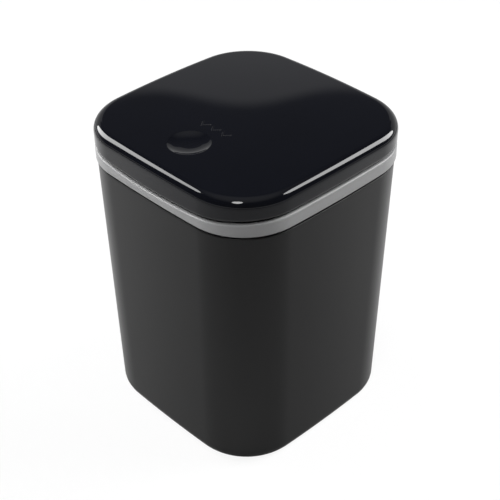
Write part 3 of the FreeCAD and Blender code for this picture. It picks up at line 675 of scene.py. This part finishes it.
def solid_block(plan, low, high, edge):
    """Upright block: its edges' rounding carried round the plan, closed by flat ends."""
    flat = edge * BLOCK_FLAT
    profile = rounded([(flat, low, 0), (0, low, edge), (0, high, edge), (flat, high, 0)])
    rows = plan.carried(*profile)
    ends = [np.append(rows[k, :, :2].mean(axis=0), z) for k, z in ((0, low), (-1, high))]
    return shell(rows, *ends)


def box_block(x_range, y_range, z_range, edge):
    """Upright block between two corners, with rounded edges."""
    half_x, half_y = (abs(pair[1] - pair[0]) / 2 for pair in (x_range, y_range))
    middle = (sum(x_range) / 2, sum(y_range) / 2)
    plan = block_plan(half_x, half_y, edge * BLOCK_CORNER, middle)
    return solid_block(plan, min(z_range), max(z_range), edge)


def tube_block(outer, bore, low, high, middle, edge):
    """Upright tube: a ring's profile carried round a circle."""
    wall = outer - bore
    profile = rounded([(0, low, edge), (0, high, edge), (wall, high, edge), (wall, low, edge)])
    return shell(circle_plan(outer, middle).carried(*profile), looped=True)


def bin_shell(plan_sizes, sizes):
    """Tub: a profile from under the floor, round the base, over the rim and down to the floor, carried round
    a plan that changes evenly from the base's to the rim's with height, and closed by a pole on each face of
    the floor."""
    edge = sizes.rim_round
    foot_edge = edge * FOOT_EDGE
    foot = sizes.base_round + sizes.foot_width
    inner_round = sizes.base_round - sizes.wall
    profile = rounded([
        (foot + edge * RECESS_FLAT, sizes.foot_recess, 0),
        (foot, sizes.foot_recess, foot_edge),
        (foot, 0, foot_edge),
        (0, 0, sizes.base_round),
        (0, RIM_HEIGHT, edge),
        (sizes.wall, RIM_HEIGHT, edge),
        (sizes.wall, sizes.floor, inner_round),
        (sizes.wall + inner_round * FLOOR_FLAT, sizes.floor, 0),
    ])
    base = shared_plan(plan_sizes, draw=sizes.setback + sizes.taper).carried(*profile)
    rim = shared_plan(plan_sizes, draw=sizes.setback).carried(*profile)
    rows = base + (rim - base) * (base[..., 2:] / RIM_HEIGHT)
    return shell(rows, (0, 0, sizes.foot_recess), (0, 0, sizes.floor))


def deck_faces(sizes):
    """Heights of the lower and upper face of the collar's deck."""
    low = RIM_HEIGHT + sizes.rim_gap
    return low, low + sizes.deck_thickness


def collar_shell(plan, plan_sizes, sizes):
    """Band, deck, spigot and its seat: one closed profile carried round the plan. At the front the band's top
    follows the dip, and the mouth's edge steps back to the slot that the latch passes through."""
    low, deck = deck_faces(sizes)
    top = low + sizes.band_height
    spigot_low = RIM_HEIGHT - sizes.spigot_length
    spigot_in = sizes.spigot_inset + sizes.spigot_wall
    edge = sizes.edge_round
    fine = edge * SPIGOT_EDGE
    inset, height = rounded([
        (0, low, edge),
        (0, top, sizes.lip_round),
        (sizes.band_wall, top, edge),
        (sizes.band_wall, deck, edge),
        (sizes.deck_width, deck, edge),
        (sizes.deck_width, low, edge),
        (spigot_in, low, fine),
        (spigot_in, spigot_low, edge),
        (sizes.spigot_inset, spigot_low, edge),
        (sizes.spigot_inset, RIM_HEIGHT, fine),
        (sizes.seat_inset, RIM_HEIGHT, fine),
        (sizes.seat_inset, low, fine),
    ])
    outline = plan.at(0)
    slot_half = sizes.housing_half - sizes.housing_wall / 2
    in_slot = (np.abs(outline[:, 0]) < slot_half) & (outline[:, 1] < 0)
    start = spigot_in + fine
    mouth = inset[:, None] > start
    squeezed = start + (inset - start) * (sizes.slot_inset - start) / (sizes.deck_width - start)
    upper = (height > (deck + top) / 2)[:, None]
    heights = height[:, None] - upper * front_dip(plan_sizes, outline)
    rows = plan.carried(np.where(mouth & in_slot, squeezed[:, None], inset[:, None]), heights)
    return shell(rows, looped=True)


def hinge_shells(plan_sizes, collar, sizes):
    """Rear bridge and the two ears: rounded blocks and eyes bored for the pin."""
    low, deck = deck_faces(collar)
    fine = collar.edge_round * HOUSING_EDGE
    rear = plan_sizes.width / 2 - collar.band_wall - fine
    bridge_y = (HINGE.y - sizes.bridge_depth, rear)
    half = sizes.bridge_half
    made = [box_block((-half, half), bridge_y, (low + BRIDGE_INSET, deck - BRIDGE_INSET), fine)]
    eye = sizes.eye_diameter / 2
    bore = sizes.pin_diameter / 2
    stem_y = (HINGE.y - eye, HINGE.y - sizes.stem_relief)
    for side in (-1, 1):
        outer = side * PIN_BOX[1].x
        span = sorted((outer - side * sizes.ear_width, outer))
        made.append(box_block(span, stem_y, (low + STEM_INSET, HINGE.z - bore), fine))
        made.append(lying(tube_block(eye, bore, *span, (HINGE.y, HINGE.z), fine), "X"))
    return made


def latch_shells(plan_sizes, sizes):
    """Housing of the latch behind the spigot: floor, three walls and two screw bosses, as rounded blocks."""
    low = COLLAR_BOX[0].z
    deck = deck_faces(sizes)[1] - HOUSING_INSET
    front = sizes.spigot_inset - plan_sizes.width / 2 + sizes.spigot_wall / 2
    face = (front, COVER_BOX[0].y)
    fine = sizes.edge_round * HOUSING_EDGE
    inner = sizes.housing_half - sizes.housing_wall
    made = [box_block((-inner - fine, inner + fine), face, (low, low + sizes.housing_wall), fine)]
    front_wall = (front - sizes.spigot_wall / 2, front + sizes.spigot_wall / 2)
    made.append(box_block((-inner, inner), front_wall, (low, RIM_HEIGHT), fine))
    for side in (-1, 1):
        made.append(box_block((side * inner, side * sizes.housing_half), face, (low, deck), fine))
        boss = circle_plan(sizes.boss_diameter / 2, (deck - sizes.screw_drop, side * sizes.screw_spread))
        made.append(lying(solid_block(boss, *face, fine), "Y"))
    return made


def roof_height(sizes):
    """Height of the underside of the lid's top."""
    return sizes.top - sizes.crown - sizes.roof


def dish_middle(sizes, width):
    """Middle of the thumb dish on the plan."""
    return np.array((0, sizes.dish_setback - width / 2))


def crown_radius(sizes, width):
    """Radius of the ball that the crown is a cap of, from its rise over half the width."""
    return ((width / 2) ** 2 + sizes.crown ** 2) / (2 * sizes.crown)


def crown_height(sizes, width, flat):
    """Height of the crowned top: a ball that meets the edge of the plan lower than the middle."""
    radius = crown_radius(sizes, width)
    return sizes.top - radius + np.sqrt(radius ** 2 - (flat ** 2).sum(axis=-1))


def lid_top_height(sizes, width, flat):
    """Crown with the thumb dish sunk in: its depth falls with a power of the squared distance from its
    middle, and a smooth maximum softens its rim."""
    crown = crown_height(sizes, width, flat)
    middle = dish_middle(sizes, width)
    level = crown_height(sizes, width, middle)
    away = ((flat - middle) ** 2).sum(axis=-1) / (sizes.dish_diameter / 2) ** 2
    depth = crown - level + sizes.dish_depth * (1 - away ** sizes.dish_power)
    return crown - (depth + np.sqrt(depth ** 2 + sizes.dish_rim ** 2)) / 2


def lid_skirt(plan, plan_sizes, sizes):
    """Rows from under the roof, down the inside of the skirt, round its lower edge and up the outside. The
    lower edge follows the dip in front, and its rear stretch is lifted over the hinge with an eased step at
    each end."""
    low = sizes.low
    roof_low = roof_height(sizes)
    inner_round = sizes.top_round - sizes.wall
    fine = sizes.low_round * LID_EDGE
    inset, height = rounded([
        (sizes.wall + inner_round * ROOF_FLAT, roof_low, 0),
        (sizes.wall, roof_low, inner_round),
        (sizes.wall, low, fine),
        (0, low, sizes.low_round - fine),
        (0, sizes.top - sizes.crown - sizes.top_round * SKIRT_TOP, 0),
    ])
    outline = plan.at(0)
    step = np.clip((outline[:, 1] - HINGE.y) / sizes.notch_run + NOTCH_LEAD, 0, 1)
    lift = sizes.notch_height * step ** 2 * (3 - 2 * step) - front_dip(plan_sizes, outline)
    moved = (height < low + sizes.low_round + 2 * GUIDE)[:, None]
    return plan.carried(inset, height[:, None] + moved * lift)


def lid_edge(plan, sizes, width):
    """Rows of the rounded top edge: in each column an arc from the upright skirt to the crown's slope."""
    base = plan.at(sizes.top_round)
    slope = np.arcsin((base * plan.direction).sum(axis=1) / crown_radius(sizes, width))
    end_inset = sizes.top_round * (1 - np.sin(slope))
    centre_height = crown_height(sizes, width, plan.at(end_inset)) - sizes.top_round * np.cos(slope)
    turn = np.linspace(0, 1, 2 * ROUND_STEPS)[:, None] * (QUARTER_TURN - slope)
    inset = sizes.top_round * (1 - np.cos(turn))
    return plan.carried(inset, centre_height + sizes.top_round * np.sin(turn))


def lid_top(edge, sizes, width):
    """Rows of the top: outlines that change from the edge into a ring round the dish, then smaller rings."""
    middle = dish_middle(sizes, width)
    radius = sizes.dish_diameter / 2
    around = edge[:, :2] - middle
    direction = around / np.linalg.norm(around, axis=1)[:, None]
    ring = middle + direction * radius * DISH_RING
    first, second = TOP_STARTS
    share = np.append(first, np.linspace(second, 1, TOP_ROWS))[:, None, None]
    outer = edge[:, :2] * (1 - share) + ring * share
    reach = np.concatenate([np.linspace(*rings) for rings in DISH_RINGS])
    inner = middle + direction * (reach * radius)[:, None, None]
    flat = np.concatenate((outer, inner))
    return np.dstack((flat, lid_top_height(sizes, width, flat)))


def lid_shell(plan, plan_sizes, sizes):
    """Cover as one closed sheet, from a pole under the roof to a pole in the middle of the dish."""
    width = plan_sizes.width
    edge = lid_edge(plan, sizes, width)
    rows = np.concatenate((lid_skirt(plan, plan_sizes, sizes), edge, lid_top(edge[-1], sizes, width)))
    dish = dish_middle(sizes, width)
    end = np.append(dish, lid_top_height(sizes, width, dish))
    return shell(rows, (0, 0, roof_height(sizes)), end)


def lid_inner_shells(sizes, width):
    """Bosses for the liner and the pad under the dish: upright round blocks."""
    under = roof_height(sizes)
    fine = sizes.low_round * LID_EDGE
    made = []
    for x in (-sizes.boss_reach, sizes.boss_reach):
        for y in (-sizes.boss_reach, sizes.boss_reach):
            boss = circle_plan(sizes.boss_diameter / 2, (x, y))
            made.append(solid_block(boss, sizes.boss_low, under + sizes.roof / 2, fine))
    pad = circle_plan(sizes.dish_diameter / 2 + sizes.wall, dish_middle(sizes, width), PAD_COLUMNS)
    made.append(solid_block(pad, under - sizes.dish_depth, under + PAD_OVERLAP, fine))
    return made


def mark_shell(sizes, width, x):
    """One raised chevron: a low oval section carried along a bent line, rooted in the crown."""
    half = sizes.mark_width / 2
    slope = sizes.mark_length * MARK_SLOPE
    low = sizes.mark_setback - width / 2 - sizes.mark_length / 2
    run = np.sort(np.append(np.linspace(-1, 1, MARK_ROWS), (-MARK_BEND, MARK_BEND)))
    turn = np.linspace(0, FULL_TURN, MARK_COLUMNS, endpoint=False)
    rise = np.where(np.sin(turn) > 0, sizes.mark_relief, sizes.roof * MARK_ROOT) * np.sin(turn)
    flat = np.empty((len(run), len(turn), 2))
    flat[..., 0] = x + half * run[:, None]
    middle = low + sizes.mark_stroke / 2 + slope * np.abs(run)[:, None]
    flat[..., 1] = middle + sizes.mark_stroke / 2 * np.cos(turn)
    rows = np.dstack((flat, crown_height(sizes, width, flat) + rise))
    return shell(rows, rows[0].mean(axis=0), rows[-1].mean(axis=0))


def spring_shell(sizes, side):
    """Torsion spring: a circle carried along an upright leg, a helix about the pin and a level leg."""
    wire = sizes.wire / 2
    start, end = SPRING_BOX[0].x + wire, SPRING_BOX[1].x - wire
    radius = sizes.coil_radius
    swept = np.linspace(0, sizes.coil_turns * FULL_TURN, int(sizes.coil_turns * TURN_ROWS))
    turn = HALF_TURN - swept
    coil = np.column_stack((
        start + (end - start) * swept / swept[-1],
        HINGE.y + radius * np.cos(turn),
        HINGE.z + radius * np.sin(turn),
    ))
    share = np.linspace(0, 1, LEG_ROWS)[:, None]
    foot = np.array((start, coil[0, 1], SPRING_BOX[0].z))
    tip = np.array((end, SPRING_BOX[0].y, coil[-1, 2]))
    path = np.vstack((foot + (coil[0] - foot) * share[:-1], coil, coil[-1] + (tip - coil[-1]) * share[1:]))
    along = np.gradient(path, axis=0)
    along /= np.linalg.norm(along, axis=1)[:, None]
    first = np.array((1.0, 0, 0)) - along * along[:, :1]
    first /= np.linalg.norm(first, axis=1)[:, None]
    second = np.cross(along, first)
    around = np.linspace(0, FULL_TURN, WIRE_COLUMNS, endpoint=False)[:, None]
    rows = path[:, None] + wire * (np.cos(around) * first[:, None] + np.sin(around) * second[:, None])
    rows[..., 0] *= side
    if side < 0:
        rows = rows[:, ::-1]
    return shell(rows, rows[0].mean(axis=0), rows[-1].mean(axis=0))


# Pieces

class TRASHCAN_OT_bin(bpy.types.Operator):
    """Builds the drafted black bin"""
    bl_idname = "trash_can.bin"
    bl_label = "Bin"

    def execute(self, context):
        sizes = context.scene.trash_can
        look = sizes.finishes
        finish = moulded("satin_black", look.bin_black, look.bin_roughness, look.bin_grain, look.bin_gloss)
        made = piece("bin_tub", [bin_shell(sizes.plan, sizes.bin)], finish)
        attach(made, "bin")
        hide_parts("bin_body")
        return {"FINISHED"}


class TRASHCAN_OT_collar(bpy.types.Operator):
    """Builds the grey collar with its hinge bridge and latch housing"""
    bl_idname = "trash_can.collar"
    bl_label = "Collar"

    def execute(self, context):
        sizes = context.scene.trash_can
        look = sizes.finishes
        finish = moulded("satin_grey", look.collar_grey, look.collar_roughness, look.collar_grain)
        shells = [collar_shell(shared_plan(sizes.plan), sizes.plan, sizes.collar)]
        shells += hinge_shells(sizes.plan, sizes.collar, sizes.hinge)
        shells += latch_shells(sizes.plan, sizes.collar)
        made = piece("collar_band", shells, finish)
        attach(made, "collar")
        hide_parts("collar_ring")
        finish_nodes({"latch_cover": finish})
        return {"FINISHED"}


class TRASHCAN_OT_lid(bpy.types.Operator):
    """Builds the gloss lid cover with its thumb dish and raised chevrons"""
    bl_idname = "trash_can.lid"
    bl_label = "Lid cover"

    def execute(self, context):
        sizes = context.scene.trash_can
        look = sizes.finishes
        lid, width = sizes.lid, sizes.plan.width
        finish = polished("gloss_black", look.lid_black, look.lid_roughness, look.lid_gloss)
        notch_ends = np.radians([np.linspace(*turns, NOTCH_COLUMNS) for turns in NOTCH_TURNS]).ravel()
        cover = lid_shell(shared_plan(sizes.plan, notch_ends), sizes.plan, lid)
        made = piece("lid_shell", [cover] + lid_inner_shells(lid, width), finish)
        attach(made, "lid")
        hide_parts("lid_cover")
        places = (np.arange(lid.mark_count) - (lid.mark_count - 1) / 2) * lid.mark_pitch
        marks = piece("press_marks", [mark_shell(lid, width, x) for x in places], finish)
        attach(marks, "lid")
        return {"FINISHED"}


class TRASHCAN_OT_springs(bpy.types.Operator):
    """Winds the two torsion springs on the hinge pin"""
    bl_idname = "trash_can.springs"
    bl_label = "Hinge springs"

    def execute(self, context):
        sizes = context.scene.trash_can
        look = sizes.finishes
        finish = drawn_metal("spring_wire", look.steel, look.spring_roughness, COIL_STRETCH)
        for name, side in (("left", -1), ("right", 1)):
            made = piece("torsion_spring_" + name, [spring_shell(sizes.hinge, side)], finish)
            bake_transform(made)
            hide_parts("hinge_spring_" + name)
        return {"FINISHED"}


class TRASHCAN_OT_latch(bpy.types.Operator):
    """Finishes the lid's liner and the latch's cam and arm"""
    bl_idname = "trash_can.latch"
    bl_label = "Liner and latch"

    def execute(self, context):
        look = context.scene.trash_can.finishes
        liner = moulded("matte_black", look.liner_black, look.liner_roughness, look.liner_grain)
        latch = moulded("natural_plastic", look.latch_white, look.latch_roughness, look.latch_grain)
        finish_nodes({"lid_liner": liner, "latch_cam": latch, "latch_arm": latch})
        return {"FINISHED"}


class TRASHCAN_OT_hardware(bpy.types.Operator):
    """Finishes the pins and screws"""
    bl_idname = "trash_can.hardware"
    bl_label = "Pins and screws"

    def execute(self, context):
        look = context.scene.trash_can.finishes
        pin = drawn_metal("drawn_pin", look.steel, look.pin_roughness, PIN_STRETCH)
        pivot = drawn_metal("turned_pivot", look.steel, look.pivot_roughness, PIVOT_STRETCH)
        screw = drawn_metal("zinc_screw", look.zinc, look.zinc_roughness, EVEN)
        finish_nodes({
            "hinge_pin": pin,
            "latch_pivot": pivot,
            "lid_screws": screw,
            "latch_cam_screws": screw,
            "latch_cover_screws": screw,
        })
        return {"FINISHED"}


# Stage

def direction_of(azimuth, elevation):
    """Unit vector from the object at an azimuth, counted from the front, and a height over the horizon."""
    level = math.cos(elevation)
    return Vector((math.sin(azimuth) * level, -math.cos(azimuth) * level, math.sin(elevation)))


def white_floor(sizes):
    """Pale floor that the camera and reflections see as white, with the object's soft shadow kept."""
    made = bpy.data.materials.new("pale_floor")
    sheet = Sheet(made)
    paper = sheet.shades(sheet.noise(sheet.place(), PAPER_CLOUDS), sizes.floor_white, PAPER_SHADES)
    matte = sheet.node("ShaderNodeBsdfDiffuse", {}, {"Color": paper})
    glow = sheet.node("ShaderNodeEmission", {}, {"Color": WHITE, "Strength": 1.0})
    seen = sheet.node("ShaderNodeLightPath", output="Is Camera Ray")
    mirrored = sheet.node("ShaderNodeLightPath", output="Is Glossy Ray")
    through = sheet.node("ShaderNodeLightPath", output="Is Transmission Ray")
    shown = seen * sizes.floor_glow + (mirrored + through) * sizes.floor_gleam
    mixed = sheet.node("ShaderNodeMixShader", {}, {0: shown, 1: matte, 2: glow})
    sheet.node("ShaderNodeOutputMaterial", {}, {"Surface": mixed})
    return made


def dark_cloth(sizes):
    """Dark cloth that thickens in front of the object and far from it."""
    made = bpy.data.materials.new("dark_cloth")
    sheet = Sheet(made)
    here = sheet.node("ShaderNodeTexCoord", output="Object")
    ahead = sheet.along(here, direction_of(sizes.azimuth + sizes.cloth_turn, 0))
    away = sheet.node("ShaderNodeVectorMath", {"operation": "LENGTH"}, {0: here}, output="Value")
    weave = sheet.shades(sheet.noise(sheet.place(), WEAVE_CLOUDS), sizes.cloth_dark, WEAVE_SHADES)
    matte = sheet.node("ShaderNodeBsdfDiffuse", {}, {"Color": weave})
    clear = sheet.node("ShaderNodeBsdfTransparent")
    front_end = sizes.cloth_front + sizes.cloth_front_fade
    round_end = sizes.cloth_round + sizes.cloth_round_fade
    bare = sheet.ramp(ahead, sizes.cloth_front, front_end, 1.0, 0.0)
    bare = bare * sheet.ramp(away, sizes.cloth_round, round_end, 1.0, 0.0)
    mixed = sheet.node("ShaderNodeMixShader", {}, {0: bare, 1: matte, 2: clear})
    sheet.node("ShaderNodeOutputMaterial", {}, {"Surface": mixed})
    return made


def studio_world(sizes):
    """Surroundings: a dim room, brighter overhead, with a grey wall up to a waved edge behind the object. The
    camera sees them pale all over."""
    made = bpy.data.worlds.new("studio")
    sheet = Sheet(made)
    toward = sheet.node("ShaderNodeTexCoord", output="Generated")
    rise = sheet.along(toward, (0, 0, 1))
    behind = sheet.along(toward, direction_of(sizes.azimuth + HALF_TURN, 0))
    aside = sheet.along(toward, direction_of(sizes.azimuth + QUARTER_TURN, 0))
    wave = sheet.node("ShaderNodeMath", {"operation": "COSINE"}, {0: aside * sizes.wall_waves})
    over = rise - wave * sizes.wall_sag - sizes.wall_edge
    grey = sheet.ramp(rise, 0.0, sizes.wall_edge, sizes.wall_foot, sizes.wall_grey)
    wall = sheet.ramp(over, 0.0, sizes.wall_fade, 1.0, 0.0)
    wall = wall * sheet.ramp(behind, sizes.wall_start, sizes.wall_full, 0.0, 1.0)
    above = sheet.ramp(rise, sizes.overhead_low, 1.0, sizes.ceiling, sizes.overhead)
    dim = above + wall * (grey - sizes.ceiling)
    seen = sheet.node("ShaderNodeLightPath", output="Is Camera Ray")
    level = dim + seen * (sizes.backdrop - dim)
    light = sheet.node("ShaderNodeBackground", {}, {"Color": WHITE, "Strength": level})
    sheet.node("ShaderNodeOutputWorld", {}, {"Surface": light})
    return made


def add_lamp(name, azimuth, height, softbox, power, target, roll=0.0):
    """Oval softbox, given by its distance, width and height, that looks at the object and is rolled about
    that line."""
    direction = direction_of(azimuth, height)
    distance, width, tall = softbox
    light = bpy.data.lights.new(name, "AREA")
    light.shape = "ELLIPSE"
    light.size = width
    light.size_y = tall
    light.energy = power
    made = bpy.data.objects.new(name, light)
    made.location = Vector((0, 0, target)) + direction * distance
    aim = (-direction).to_track_quat("-Z", "Y") @ Quaternion((0, 0, 1), roll)
    made.rotation_euler = aim.to_euler()
    bpy.context.scene.collection.objects.link(made)
    return made


def add_camera(sizes):
    """Camera at its azimuth, height and distance, rolled about its own axis."""
    back = direction_of(sizes.azimuth, sizes.elevation)
    right = Vector((math.cos(sizes.azimuth), math.sin(sizes.azimuth), 0))
    up = back.cross(right)
    rolled = (
        right * math.cos(sizes.roll) + up * math.sin(sizes.roll),
        up * math.cos(sizes.roll) - right * math.sin(sizes.roll),
        back,
    )
    data = bpy.data.cameras.new("camera")
    data.lens = sizes.lens
    data.shift_x = sizes.shift_x
    data.shift_y = sizes.shift_y
    data.clip_start = MM
    made = bpy.data.objects.new("camera", data)
    place = back * sizes.distance + Vector((0, 0, sizes.target))
    made.matrix_world = Matrix.Translation(place) @ Matrix(rolled).transposed().to_4x4()
    bpy.context.scene.collection.objects.link(made)
    bpy.context.scene.camera = made


def add_sheet(name, half, height, finish):
    """Flat square sheet about the middle, as part of the stage."""
    corners = [(-half, -half, height), (half, -half, height), (half, half, height), (-half, half, height)]
    mesh = bpy.data.meshes.new(name)
    mesh.from_pydata(corners, [], [(0, 1, 2, 3)])
    mesh.materials.append(finish)
    made = bpy.data.objects.new(name, mesh)
    bpy.context.scene.collection.objects.link(made)
    return made


def add_floor(sizes):
    """Wide floor just under the object."""
    add_sheet("floor", sizes.floor_size / 2, CAD_BOX[0].z - FLOOR_DROP, white_floor(sizes))


def add_cloth(sizes):
    """Dark cloth on the floor, which only reflections and soft light meet."""
    made = add_sheet("cloth", sizes.cloth_half, 0, dark_cloth(sizes))
    made.visible_camera = False
    made.visible_shadow = False


class TRASHCAN_OT_stage(bpy.types.Operator):
    """Sets the floor, lamps, surroundings and camera"""
    bl_idname = "trash_can.stage"
    bl_label = "Stage"

    def execute(self, context):
        sizes = context.scene.trash_can.stage
        side = (sizes.side_distance, sizes.side_width, sizes.side_tall)
        front = (sizes.front_distance, sizes.front_width, sizes.front_tall)
        roll, aim = sizes.side_roll, sizes.target
        add_floor(sizes)
        add_cloth(sizes)
        add_lamp("left_lamp", sizes.left_lamp, sizes.left_height, side, sizes.left_power, aim, roll)
        add_lamp("right_lamp", sizes.right_lamp, sizes.right_height, side, sizes.right_power, aim, -roll)
        fill = add_lamp("fill_lamp", sizes.fill_lamp, sizes.fill_height, side, sizes.fill_power, aim)
        fill.visible_glossy = False
        add_lamp("front_lamp", sizes.front_lamp, sizes.front_height, front, sizes.front_power, aim)
        context.scene.world = studio_world(sizes)
        context.scene.view_settings.view_transform = "Standard"
        add_camera(sizes)
        return {"FINISHED"}


class TRASHCAN_PT_panel(bpy.types.Panel):
    """Lists the pieces of the trash can"""
    bl_idname = "TRASHCAN_PT_panel"
    bl_label = "Trash Can"
    bl_space_type = "VIEW_3D"
    bl_region_type = "UI"
    bl_category = "Trash Can"

    def draw(self, context):
        for operator in OPERATORS:
            self.layout.operator(operator.bl_idname)


GROUPS = (PlanSizes, BinSizes, CollarSizes, LidSizes, HingeSizes, Finishes, StageSizes, TrashCanSettings)
OPERATORS = (
    TRASHCAN_OT_bin,
    TRASHCAN_OT_collar,
    TRASHCAN_OT_lid,
    TRASHCAN_OT_springs,
    TRASHCAN_OT_latch,
    TRASHCAN_OT_hardware,
    TRASHCAN_OT_stage,
)
CLASSES = GROUPS + OPERATORS + (TRASHCAN_PT_panel,)


def register():
    """Registers the classes and gives the scene its settings."""
    for made in CLASSES:
        bpy.utils.register_class(made)
    bpy.types.Scene.trash_can = PointerProperty(type=TrashCanSettings)


def unregister():
    """Takes the settings and classes away."""
    del bpy.types.Scene.trash_can
    for made in reversed(CLASSES):
        bpy.utils.unregister_class(made)


def main():
    """Builds every piece and the stage."""
    register()
    bpy.ops.trash_can.bin()
    bpy.ops.trash_can.collar()
    bpy.ops.trash_can.lid()
    bpy.ops.trash_can.springs()
    bpy.ops.trash_can.latch()
    bpy.ops.trash_can.hardware()
    bpy.ops.trash_can.stage()


if __name__ == "__main__":
    main()
